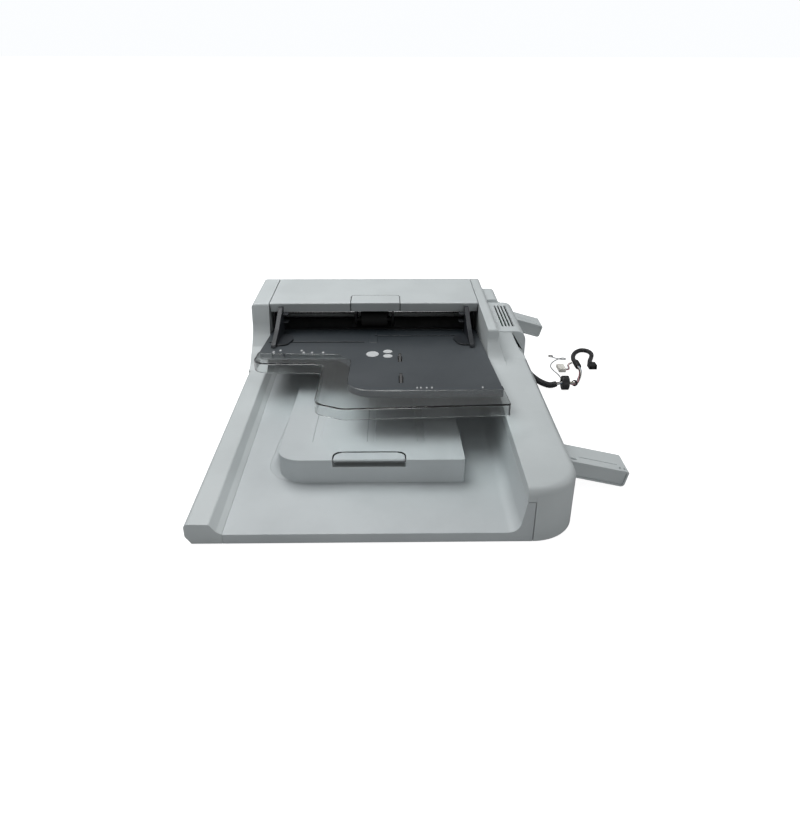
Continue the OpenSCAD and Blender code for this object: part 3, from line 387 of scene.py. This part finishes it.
# %% Harness sleeve and wires
SLEEVE_RADIUS = 4.5
WIRE_RADIUS, WIRE_RING, WIRE_TURNS = 0.78, 1.62, 1.4      # mm, mm from the middle, turns
ROUND = 2 * math.pi
sleeve_places = [(-151, 192, 12), (-151, 205, 12), (-145, 214, 8.5), (-131, 220, 5),
                 (-110, 224, 4.8), (-90, 232, 4.8), (-77, 243, 5.4), (-74, 253, 9)]
sleeve_line = smooth_route(sleeve_places, 4)
sleeve_radii = [SLEEVE_RADIUS * MM] * (len(sleeve_line) - 2) + [4.3 * MM, 3.6 * MM]
sleeve = cord_tube("harness_braid", [(sleeve_line, sleeve_radii, 20)], [sleeve_braid])

wire_places = [(-74, 252, 8.6), (-74, 260, 10.5), (-74, 264, 10.5), (-74, 271, 10.3),
               (-79, 279, 6.6), (-90, 287, 3.2), (-103, 293, 2.7), (-118, 299, 2.7),
               (-132, 302.5, 3.6), (-144, 302.5, 5)]
wire_line = smooth_route(wire_places, 5)


def strand(line, around, out, turns, radius):
    places = frames_along(line)
    bent = []
    for i, (point, side, up) in enumerate(places):
        a = around + ROUND * turns * i / (len(places) - 1)
        bent.append(point + out * (math.cos(a) * side + math.sin(a) * up))
    return (bent, [radius] * len(bent), 8)


strands = [strand(wire_line, ROUND * k / 6, WIRE_RING * MM, WIRE_TURNS, WIRE_RADIUS * MM)
           for k in range(6)]
strands.append(strand(wire_line, 0, 0.0, 0, WIRE_RADIUS * MM))
wire_order = ("white", "black", "rose", "grey", "ivory", "blue", "black")
wires = cord_tube("signal_wires", strands, [vinyl[c] for c in wire_order])
print("sleeve m", round(length_of(sleeve_line), 4), "wires m", round(length_of(wire_line), 4))

# %% [markdown]
# Vinyl tape is wound round the junction in turns that lap over each other, so its outline
# has small steps. A radius that grows over ten points and then jumps back gives them. Past
# the tape a thin branch in its own braid runs out to a plug.

# %% Junction tape and branch
TAPE_POINTS, TAPE_STEP = 41, 0.44      # 40 steps make 17.6 mm of tape
TAPE_RADIUS, TAPE_LAP = 4.55, 0.4      # mm at the start of a turn, and what it grows by
POINTS_PER_LAP = 10

tape_line = [Vector((-144.2 - TAPE_STEP * i, 302.5, 5)) * MM for i in range(TAPE_POINTS)]
tape_radii = [(TAPE_RADIUS + TAPE_LAP * ((i % POINTS_PER_LAP) / (POINTS_PER_LAP - 1))) * MM
              for i in range(TAPE_POINTS)]
tape = cord_tube("junction_tape", [(tape_line, tape_radii, 24)], [vinyl_tape])
branch_places = [(-162, 302.5, 5), (-174, 302, 3.8), (-190, 305, 3.6), (-206, 313, 3.6),
                 (-215, 324, 3.6), (-211, 334, 3.6), (-198, 337, 3.6), (-182, 332, 3.6),
                 (-170, 327, 3.7), (-163, 326, 3.7), (-158.5, 326, 3.7)]
branch_line = smooth_route(branch_places, 4)
branch = cord_tube("branch_braid", [(branch_line, [3.45 * MM] * len(branch_line), 16)],
                   [branch_braid])
print("branch m", round(length_of(branch_line), 4))

# %% [markdown]
# Two small cords hang on the bundle. Four thin wires turn back from the junction to a flat
# connector, and one grey ground wire runs in a loop to a ring that a screw would hold.

# %% Connector lead and ground wire
lead_places = [(-161, 296.7, 5), (-160.3, 292.5, 3.4), (-155, 289, 2.7), (-146, 288, 2.7),
               (-140.2, 286, 2.8), (-139, 281.5, 3)]
lead_line = smooth_route(lead_places, 5)
lead = cord_tube("connector_wires",
                 [strand(lead_line, ROUND * k / 4, 0.95 * MM, 0.6, 0.65 * MM)
                  for k in range(4)], [vinyl[c] for c in ("rose", "white", "black", "grey")])
ground_places = [(-84.6, 265, 10.5), (-89, 265.5, 8), (-95, 267, 3.5), (-107, 268, 1.1),
                 (-124, 267, 0.9), (-144, 262, 0.9), (-158, 262, 0.9), (-172, 268, 0.9),
                 (-184, 279, 0.9), (-189, 288, 0.9), (-184, 292, 1.4), (-179, 286, 2.6),
                 (-184, 277, 2.4), (-194, 271, 1)]
ground_line = smooth_route(ground_places, 3)
ground = cord_tube("ground_lead", [(ground_line, [0.8 * MM] * len(ground_line), 10)],
                   [vinyl["grey"]])
print("lead m", round(length_of(lead_line), 4), "ground m", round(length_of(ground_line), 4))

# %% [markdown]
# From here on the pieces are modelled as by hand. Everything is deselected first, because
# an operator works on all that is selected. One helper starts work on an object, one picks
# faces by a test on their centre and normal, one adds a modifier and applies it, and one
# puts the finished shape at the origin, smooths it and gives it its finish.

# %% Modelling helpers
SHARP_EDGE = math.radians(35)      # an edge that turns by more than this stays an edge


def work_on(piece):
    if bpy.context.object and bpy.context.object.mode != "OBJECT":
        bpy.ops.object.mode_set(mode="OBJECT")
    bpy.ops.object.select_all(action="DESELECT")
    piece.select_set(True)
    bpy.context.view_layer.objects.active = piece
    return piece


def pick(piece, test):
    bpy.ops.object.mode_set(mode="OBJECT")
    mesh = piece.data
    for part in (mesh.vertices, mesh.edges, mesh.polygons):
        part.foreach_set("select", [False] * len(part))
    bpy.ops.object.mode_set(mode="EDIT")
    bpy.ops.mesh.select_mode(type="FACE")
    bpy.ops.object.mode_set(mode="OBJECT")
    chosen = [face for face in mesh.polygons if test(face.center, face.normal)]
    for face in chosen:
        face.select = True
    bpy.ops.object.mode_set(mode="EDIT")
    return len(chosen)


def apply_modifier(piece, kind, **settings):
    work_on(piece)
    bpy.ops.object.modifier_add(type=kind)
    modifier = piece.modifiers[-1]
    for key, value in settings.items():
        setattr(modifier, key, value)
    bpy.ops.object.modifier_apply(modifier=modifier.name)


def settle(piece, finish):
    work_on(piece)
    bpy.ops.object.transform_apply(location=True, rotation=True, scale=True)
    bpy.ops.object.shade_smooth_by_angle(angle=SHARP_EDGE)
    piece.data.materials.clear()
    piece.data.materials.append(finish)
    return piece


def block(name, low, high):
    bpy.ops.object.select_all(action="DESELECT")
    centre = [(a + b) / 2 * MM for a, b in zip(low, high)]
    bpy.ops.mesh.primitive_cube_add(size=1, location=centre)
    piece = bpy.context.object
    piece.name = name
    piece.scale = [(b - a) * MM for a, b in zip(low, high)]
    bpy.ops.object.transform_apply(location=True, rotation=True, scale=True)
    return piece


# %% [markdown]
# Every edge of a moulding is slightly round, because no tool cuts a sharp corner and
# plastic would not fill it. The exact solids have sharp edges, so the visible ones are
# copied, their loose triangles are merged into whole faces, and a small bevel goes on all
# edges that turn by more than 35 degrees. Weighted normals keep the large faces flat.
#
# A bevel that runs into very thin faces can throw a corner out, so each corner that ends
# more than 0.9 mm from the exact solid is put back on it.

# %% Refined copy of a node
WELD = 0.002                       # mm: corners this close are one corner
FLAT = math.radians(0.6)           # faces that turn by less than this become one face
SOFT_EDGE = math.radians(50)       # after the bevel, only edges above this stay hard


def pull_back(piece, exact, most=0.9):
    tree = BVHTree.FromPolygons([v.co for v in exact.vertices],
                                [f.vertices[:] for f in exact.polygons])
    moved = 0
    for vertex in piece.data.vertices:
        nearest, _, _, gap = tree.find_nearest(vertex.co)
        if gap > most * MM:
            vertex.co = nearest
            moved += 1
    if moved:
        print(piece.name, "corners put back", moved)


def refined(node, name, body, finish, round_mm=0.5):
    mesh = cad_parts[node].data.copy()
    piece = bpy.data.objects.new(name, mesh)
    bpy.context.scene.collection.objects.link(piece)
    mesh.materials.clear()
    mesh.materials.append(finish)
    work_on(piece)
    bpy.ops.object.mode_set(mode="EDIT")
    bpy.ops.mesh.select_all(action="SELECT")
    bpy.ops.mesh.remove_doubles(threshold=WELD * MM)
    bpy.ops.mesh.dissolve_limited(angle_limit=FLAT)
    bpy.ops.object.mode_set(mode="OBJECT")
    bpy.ops.object.shade_smooth_by_angle(angle=SHARP_EDGE)
    if round_mm:
        apply_modifier(piece, "BEVEL", width=round_mm * MM, segments=2,
                       limit_method="ANGLE", angle_limit=SHARP_EDGE,
                       use_clamp_overlap=False, miter_outer="MITER_ARC")
        pull_back(piece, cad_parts[node].data)
    bpy.ops.object.shade_smooth_by_angle(angle=SOFT_EDGE)
    apply_modifier(piece, "WEIGHTED_NORMAL", keep_sharp=True)
    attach(piece, body)
    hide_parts(node)
    print(name, "faces", len(mesh.polygons))
    return piece


# %% [markdown]
# The narrow walls of a parting gap let no light out, so a seam reads as a dark line. Here the
# faces that look into a gap get the black finish as painted shade. The underside of the cover
# is painted black as well, as shade over the mouth of the head.

# %% Painted shade in the gaps
def paint_shade_black(piece, test):
    # The black finish put on these faces is painted shade, not the colour of the plastic.
    piece.data.materials.append(black_abs)
    dark = len(piece.data.materials) - 1
    count = 0
    for face in piece.data.polygons:
        if test(face.center / MM, face.normal):
            face.material_index = dark
            count += 1
    print(piece.name, "dark faces", count)


# %% [markdown]
# The outside is seven pale mouldings. Each is a refined copy of its node and takes the
# place of that node. The seams between them run round the latch, the cover and the output
# stop, so the walls beside those three get painted shade and are made black. The boxes of
# the nodes tell where the gaps are, with a margin of 2 mm for the width of a gap.

# %% Outer mouldings
GAP = 2
COVER_WALLS_FROM = 80                            # the cover's end walls lie above this height
RECESS_END, RECESS_FLOOR, RECESS_TOP = 191.2, 33, 41.3      # the stop's recess in the bin


def box_mm(node):
    return [[c / MM for c in corner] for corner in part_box(node)]


refined("front_rail", "front_rail_shell", "lid", shell_abs, 0.6)
bin_shell = refined("output_bin", "output_bin_shell", "lid", bin_abs, 0.5)
refined("rear_deck", "rear_deck_shell", "lid", shell_abs, 0.6)
cover = refined("jam_cover", "jam_cover_shell", "cover", shell_abs, 0.5)
latch = refined("cover_latch", "cover_latch_shell", "latch", shell_abs, 0.5)
latch_low, latch_high = box_mm("cover_latch")
# Painted shade on the latch: its underside and the side walls that do not face +X.
paint_shade_black(latch, lambda c, n: abs(n.z) < 0.5 and n.x < 0.4 or n.z < -0.5)
# Painted shade on the cover: its underside and the walls round the latch.
paint_shade_black(cover, lambda c, n: n.z < -0.5 or (
    abs(n.z) < 0.5 and n.x < 0.98 and c.x > latch_low[0] - GAP
    and latch_low[1] - GAP < c.y < latch_high[1] + GAP))
# Painted shade on the cover's end walls above 80 mm.
paint_shade_black(cover, lambda c, n: abs(n.y) > 0.9 and c.z > COVER_WALLS_FROM)
stop = refined("output_stop", "output_stop_flap", "stop", bin_abs, 0.5)
stop_low, stop_high = box_mm("output_stop")
# Painted shade in the stop's recess in the bin.
paint_shade_black(bin_shell, lambda c, n: stop_low[0] - GAP < c.x < RECESS_END
       and RECESS_FLOOR < c.z < RECESS_TOP and stop_low[1] < c.y < stop_high[1])
# Painted shade on the stop: its underside and the sides that do not face +X.
paint_shade_black(stop, lambda c, n: n.z < -0.4 or abs(n.z) < 0.5 and n.x < 0.5)
refined("end_cover", "end_cover_shell", "lid", shell_abs, 0.5)

# %% [markdown]
# The sheets lie on a charcoal tray between two blue-black guides, and tip two small black
# levers on their way in. These are thinner mouldings, so their edges are a little sharper.

# %% Input tray, guides and flags
for node, name, body, finish, slot, round_mm in (
        ("input_tray", "input_tray_plate", "lid", dark_abs, "tray", 0.4),
        ("tray_edge", "tray_clear_edge", "lid", clear_ps, "clear", 0.5),
        ("width_guide_front", "width_guide_front_fin", "guide_front", guide_abs, "guide", 0.4),
        ("width_guide_rear", "width_guide_rear_fin", "guide_rear", guide_abs, "guide", 0.4),
        ("sheet_flag_far", "sheet_flag_far_lever", "flag_far", black_abs, "black", 0.3),
        ("sheet_flag_near", "sheet_flag_near_lever", "flag_near", black_abs, "black", 0.3)):
    refined(node, name, body, finish, round_mm)

# %% [markdown]
# A few white marks are printed on the tray with an ink pad: three ovals, and short ticks
# along the edges for the sheet sizes. Each is a thin disc or strip of ink that stands
# 0.08 mm off the plate and follows the slope of the tray. A disc of 32 corners is stretched
# to an oval, and one of 4 corners, turned by half a corner, to a strip.

# %% Printed marks on the tray
slope = math.radians(6.634)        # the tray rises by this towards the open end
TRAY_FOOT_X, TRAY_FOOT_Z = -164, 61.3
INK_DEPTH = 0.16                   # half of it is above the plate
ink = grained("pad_printed_ink_white", "#c9cccd", 0.55, 2, 0.1)


def tray_height(x):
    return TRAY_FOOT_Z + (x - TRAY_FOOT_X) * math.tan(slope)


def printed(x, y, long_x, long_y, corners):
    bpy.ops.object.select_all(action="DESELECT")
    bpy.ops.mesh.primitive_cylinder_add(
        vertices=corners, radius=1, depth=INK_DEPTH * MM,
        location=(x * MM, y * MM, tray_height(x) * MM), rotation=(0, 0, math.pi / corners))
    piece = bpy.context.object
    bpy.ops.object.transform_apply(location=False, rotation=True, scale=True)
    wide = 1 / math.cos(math.pi / corners) if corners == 4 else 1
    piece.scale = (long_x / 2 * wide * MM, long_y / 2 * wide * MM, 1)
    piece.rotation_euler = (0, -slope, 0)
    bpy.ops.object.transform_apply(location=True, rotation=True, scale=True)
    bpy.ops.object.mode_set(mode="EDIT")
    pick(piece, lambda c, n: n.z > 0.9)
    bpy.ops.mesh.inset(thickness=min(long_x, long_y) * 0.12 * MM)
    bpy.ops.object.mode_set(mode="OBJECT")
    return piece


spots = [printed(-26, -16, 27, 17, 32), printed(-38.5, 4.8, 17, 12.5, 32),
         printed(-16.5, 4.8, 17, 12.5, 32)]
for x, y in ((-38, -152), (-45.5, -143.6), (-45, -114.3), (-35, -110.4), (-34.8, -99),
             (-34.6, -83.7)):
    spots.append(printed(x, y, 7, 2.6, 4))
for y in (39.4, 43.7, 50.6, 56.7, 116.3):
    spots.append(printed(116, y, 5, 1.6, 4))
work_on(spots[0])
for spot in spots:
    spot.select_set(True)
bpy.ops.object.join()
marks = settle(spots[0], ink)
marks.name = "tray_marks"
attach(marks, "lid")
print("tray marks faces", len(marks.data.polygons))

# %% [markdown]
# The hinge posts are square bars that swing on pins. On the side that faces +X the wall
# stands back inside a rim, which keeps the bar stiff and light. A groove runs along the
# top, with a short slot by the root and two small pockets near the end. Bisecting planes
# mark these out on the copy, and the marked faces are pushed in before the edges are
# rounded. Places along a post are measured from its pin, because each post hangs at its
# own angle and has its own length.

# %% Hinge posts
POST_PIN_Y = 186
GROOVE_X, SLOT_X = (-13.5, -12.3), (-8, -4.5)      # mm from the +X side
SLOT_ALONG = (22, 30)                              # mm from the pin
GROOVE_FROM, GROOVE_TO = 34, -11                   # mm from the pin, and from the end
POCKETS_ALONG = ((-11, -8.5), (-6, -3.5))          # mm from the end
GROOVE_DEEP, SLOT_DEEP, POCKET_DEEP = 0.9, 1.4, 1.8
RIM, RIM_DEEP, RIM_FROM = 2.2, 1.8, 12


def hinge_arm(node, name, body, pivot_z, drop, reach):
    arm = refined(node, name, body, shell_abs, 0)
    wall = box_mm(node)[1][0]
    out = Vector((0, math.cos(math.radians(drop)), -math.sin(math.radians(drop))))
    up = Vector((0, -out.z, out.y))
    pivot = Vector((0, POST_PIN_Y, pivot_z))

    def cut(point, normal):
        work_on(arm)
        bpy.ops.object.mode_set(mode="EDIT")
        bpy.ops.mesh.select_all(action="SELECT")
        bpy.ops.mesh.bisect(plane_co=point * MM, plane_no=normal)
        bpy.ops.object.mode_set(mode="OBJECT")

    def sink(across, along, depth):
        def inside(c, n):
            far = (c / MM - pivot).dot(out)
            return (n.dot(up) > 0.95 and wall + across[0] < c.x / MM < wall + across[1]
                    and along[0] < far < along[1])
        work_on(arm)
        bpy.ops.object.mode_set(mode="EDIT")
        count = pick(arm, inside)
        bpy.ops.mesh.extrude_region_move(
            TRANSFORM_OT_translate={"value": tuple(-up * depth * MM)})
        bpy.ops.object.mode_set(mode="OBJECT")
        return count

    pockets = [[reach + end for end in pocket] for pocket in POCKETS_ALONG]
    for x in GROOVE_X + SLOT_X:
        cut(Vector((wall + x, 0, 0)), Vector((1, 0, 0)))
    for along in (*SLOT_ALONG, GROOVE_FROM, *pockets[0], *pockets[1]):
        cut(pivot + out * along, out)
    faces = sink(GROOVE_X, (GROOVE_FROM, reach + GROOVE_TO), GROOVE_DEEP)
    faces += sink(SLOT_X, SLOT_ALONG, SLOT_DEEP)
    for pocket in pockets:
        faces += sink(SLOT_X, pocket, POCKET_DEEP)
    work_on(arm)
    bpy.ops.object.mode_set(mode="EDIT")
    pick(arm, lambda c, n: n.x > 0.95 and c.x / MM > wall - 0.5
         and (c / MM - pivot).dot(out) > RIM_FROM)
    bpy.ops.mesh.inset(thickness=RIM * MM, use_boundary=True)
    bpy.ops.mesh.extrude_region_move(TRANSFORM_OT_translate={"value": (-RIM_DEEP * MM, 0, 0)})
    bpy.ops.object.mode_set(mode="OBJECT")
    apply_modifier(arm, "BEVEL", width=0.35 * MM, segments=2, limit_method="ANGLE",
                   angle_limit=SOFT_EDGE, use_clamp_overlap=True)
    bpy.ops.object.shade_smooth_by_angle(angle=math.radians(40))
    print(name, "sunk faces", faces, "faces", len(arm.data.polygons))


hinge_arm("hinge_post_near", "hinge_post_near_arm", "post_near",
          pivot_z=32.7, drop=13, reach=92)
hinge_arm("hinge_post_far", "hinge_post_far_arm", "post_far",
          pivot_z=49, drop=16, reach=76)

# %% [markdown]
# The nodes whose exact shape is already right keep it, and only take a finish. The list
# goes by what each piece is made of.

# %% Finishes of the carried nodes
carried = {
    "base_frame": black_abs, "platen_pad": white_film, "reading_guide": white_film,
    "bumpers": black_rubber, "case_screws": zinc_sheet, "side_frame": coated_sheet,
    "gear_plate": zinc_sheet, "lower_guide": black_abs, "separation_pad": ground_rubber,
    "turn_guide": black_abs, "exit_guide": black_abs, "drive_motor": zinc_sheet,
    "control_board": green_board, "hinge_brackets": zinc_sheet, "hinge_pins": turned_steel,
    "cable_grommet": black_rubber, "tray_underside": black_abs, "upper_guide": black_abs,
    "pick_arm": black_abs, "pickup_roller": ground_rubber, "feed_roller": ground_rubber,
    "feed_shaft": turned_steel, "feed_gear": gear_pom, "drum_roller": ground_rubber,
    "drum_shaft": turned_steel, "drum_gear": gear_pom, "idler_gear": gear_pom,
    "reduction_gear": gear_pom, "motor_pinion": gear_pom, "exit_roller": ground_rubber,
    "exit_shaft": turned_steel, "exit_gear": gear_pom, "exit_pinch": gear_pom,
    "turn_pinch": gear_pom, "guide_pinion": gear_pom, "cable_tie": plug_black,
}
for name, finish in carried.items():
    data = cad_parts[name].data
    if not data.materials:
        data.materials.append(finish)
    for index in range(len(data.materials)):
        data.materials[index] = finish
print("carried nodes", len(carried))

# %% [markdown]
# The ferrite core is a pressed ring. Its rims are chamfered so that they do not chip, and
# a copy of the node with a wider bevel gives that.

# %% Ferrite core
ferrite = refined("ferrite_core", "ferrite_ring", "lid", fired_ferrite, 0.9)

# %% [markdown]
# The flat connector is a natural nylon housing, and the branch ends in a black one. Both
# are open at one end, where the end face is inset and pushed in, and both have a shallow
# field on top, where a finger presses. One helper makes both from a block.

# %% Connector housings
def connector(name, low, high, mouth, wall, depth, margin, press, edge, finish):
    mouth = Vector(mouth)
    piece = block(name, low, high)
    work_on(piece)
    bpy.ops.object.mode_set(mode="EDIT")
    pick(piece, lambda c, n: n.dot(mouth) > 0.9)
    bpy.ops.mesh.inset(thickness=wall * MM)
    bpy.ops.mesh.extrude_region_move(
        TRANSFORM_OT_translate={"value": tuple(-mouth * depth * MM)})
    pick(piece, lambda c, n: n.z > 0.9 and c.z > (high[2] - 0.1) * MM)
    bpy.ops.mesh.inset(thickness=margin * MM)
    bpy.ops.mesh.extrude_region_move(TRANSFORM_OT_translate={"value": (0, 0, -press * MM)})
    bpy.ops.object.mode_set(mode="OBJECT")
    apply_modifier(piece, "BEVEL", width=edge * MM, segments=2, limit_method="ANGLE")
    settle(piece, finish)
    print(name, "faces", len(piece.data.polygons))
    return piece


housing = connector("flat_connector_housing", (-154, 270, 0.1), (-134, 281, 6.1),
                    mouth=(0, -1, 0), wall=0.9, depth=5, margin=2.2, press=0.7, edge=0.4,
                    finish=nylon_white)
plug = connector("branch_plug_housing", (-158.5, 320, 0.2), (-144, 332, 7.2),
                 mouth=(1, 0, 0), wall=1.1, depth=6, margin=2.4, press=0.8, edge=0.5,
                 finish=plug_black)

# %% [markdown]
# The ring terminal is stamped from tinned sheet. A thin disc gets its hole by an inset of
# both faces and a bridge between them.

# %% Ring terminal
RING_RADIUS, RING_WIDTH, RING_SHEET = 4, 1.9, 1      # mm
RING_PLACE = (-0.198, 0.2705, 0.0006)                # metres: flat on the table

bpy.ops.object.select_all(action="DESELECT")
bpy.ops.mesh.primitive_cylinder_add(vertices=32, radius=RING_RADIUS * MM,
                                    depth=RING_SHEET * MM, location=RING_PLACE)
terminal = bpy.context.object
terminal.name = "ring_terminal"
bpy.ops.object.transform_apply(location=True, rotation=True, scale=True)
bpy.ops.object.mode_set(mode="EDIT")
pick(terminal, lambda c, n: abs(n.z) > 0.9)
bpy.ops.mesh.inset(thickness=RING_WIDTH * MM, use_individual=True)
bpy.ops.mesh.bridge_edge_loops()
bpy.ops.object.mode_set(mode="OBJECT")
settle(terminal, tin_plate)
print("terminal faces", len(terminal.data.polygons))

# %% [markdown]
# The wires lie in the open from end to end, so their lengths are those of their routes.

for piece, node in ((sleeve, "harness_sleeve"), (wires, "wire_bundle"), (tape, "branch_sleeve"),
                    (branch, "branch_sleeve"), (lead, "connector_lead"),
                    (ground, "ground_wire"), (terminal, "ground_wire"),
                    (housing, "flat_connector"), (plug, "branch_plug")):
    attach(piece, "lid")
    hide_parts(node)
print("cords declared")

# %% [markdown]
# A pale floor and soft light from above make a plain product view. A dark workbench would
# leave the sides of the lid in shade, and a white one would light them from below. Here
# the floor glows white only for the eye and is grey for the light that bounces from it, so
# the view has a white ground and the object still has its own shade.

# %% Floor
FLOOR_SIZE, FLOOR_PLACE = 60, (-20, 0, -0.0005)      # metres: far enough to meet the sky

bpy.ops.object.select_all(action="DESELECT")
bpy.ops.mesh.primitive_plane_add(size=FLOOR_SIZE, location=FLOOR_PLACE)
floor = bpy.context.object
floor.name = "pale_floor"
floor_finish, tree, shader, place = new_finish("pale_floor_paint", "#a2a3a4", 0.9,
                                               Specular_IOR_Level=0.1)
speck = add_node(tree, "ShaderNodeTexNoise", {"Scale": 300.0}, {"Vector": place})
bump = add_node(tree, "ShaderNodeBump", {"Strength": 0.02, "Distance": 0.0001},
                {"Height": speck.outputs["Fac"]})
tree.links.new(bump.outputs["Normal"], shader.inputs["Normal"])
shader.inputs["Emission Color"].default_value = (1.0, 1.0, 1.0, 1.0)
seen = add_node(tree, "ShaderNodeLightPath").outputs["Is Camera Ray"]
glow = add_node(tree, "ShaderNodeMapRange", {"To Max": 0.95}, {"Value": seen})
tree.links.new(glow.outputs["Result"], shader.inputs["Emission Strength"])
floor.data.materials.append(floor_finish)
print("floor laid")

# %% [markdown]
# The room is one pale sky and three round lamps. The sky looks white but gives little
# light, so that the lamps shape the object. The ceiling lamp lights all the tops, a large
# window beyond the open end lights the faces that look that way, and a weak lamp at the
# rear side keeps the harness out of the dark.

# %% Room light
world = bpy.data.worlds.new("soft_room")
bpy.context.scene.world = world
world.use_nodes = True
sky = world.node_tree.nodes["Background"]
sky.inputs["Color"].default_value = (0.97, 0.985, 1.0, 1.0)
seen = add_node(world.node_tree, "ShaderNodeLightPath").outputs["Is Camera Ray"]
glow = add_node(world.node_tree, "ShaderNodeMapRange", {"To Min": 0.17, "To Max": 1.0},
                {"Value": seen})
world.node_tree.links.new(glow.outputs["Result"], sky.inputs["Strength"])


def lamp(name, place, aim, size, power):
    bpy.ops.object.select_all(action="DESELECT")
    bpy.ops.object.light_add(type="AREA", location=place)
    light = bpy.context.object
    light.name = name
    light.data.shape = "DISK"
    light.data.size = size
    light.data.energy = power
    light.rotation_euler = (Vector(aim) - Vector(place)).to_track_quat("-Z", "Y").to_euler()


lamp("ceiling_lamp", place=(-0.45, -0.45, 1.5), aim=(0, 0.05, 0), size=1.4, power=25)
lamp("side_light", place=(0.1, 2.2, 1.0), aim=(0, 0, 0.05), size=1.2, power=9)
lamp("window_light", place=(4.2, 0.3, 0.9), aim=(0, 0, 0.05), size=2.2, power=34)
bpy.context.scene.view_settings.view_transform = "Standard"
print("light set")
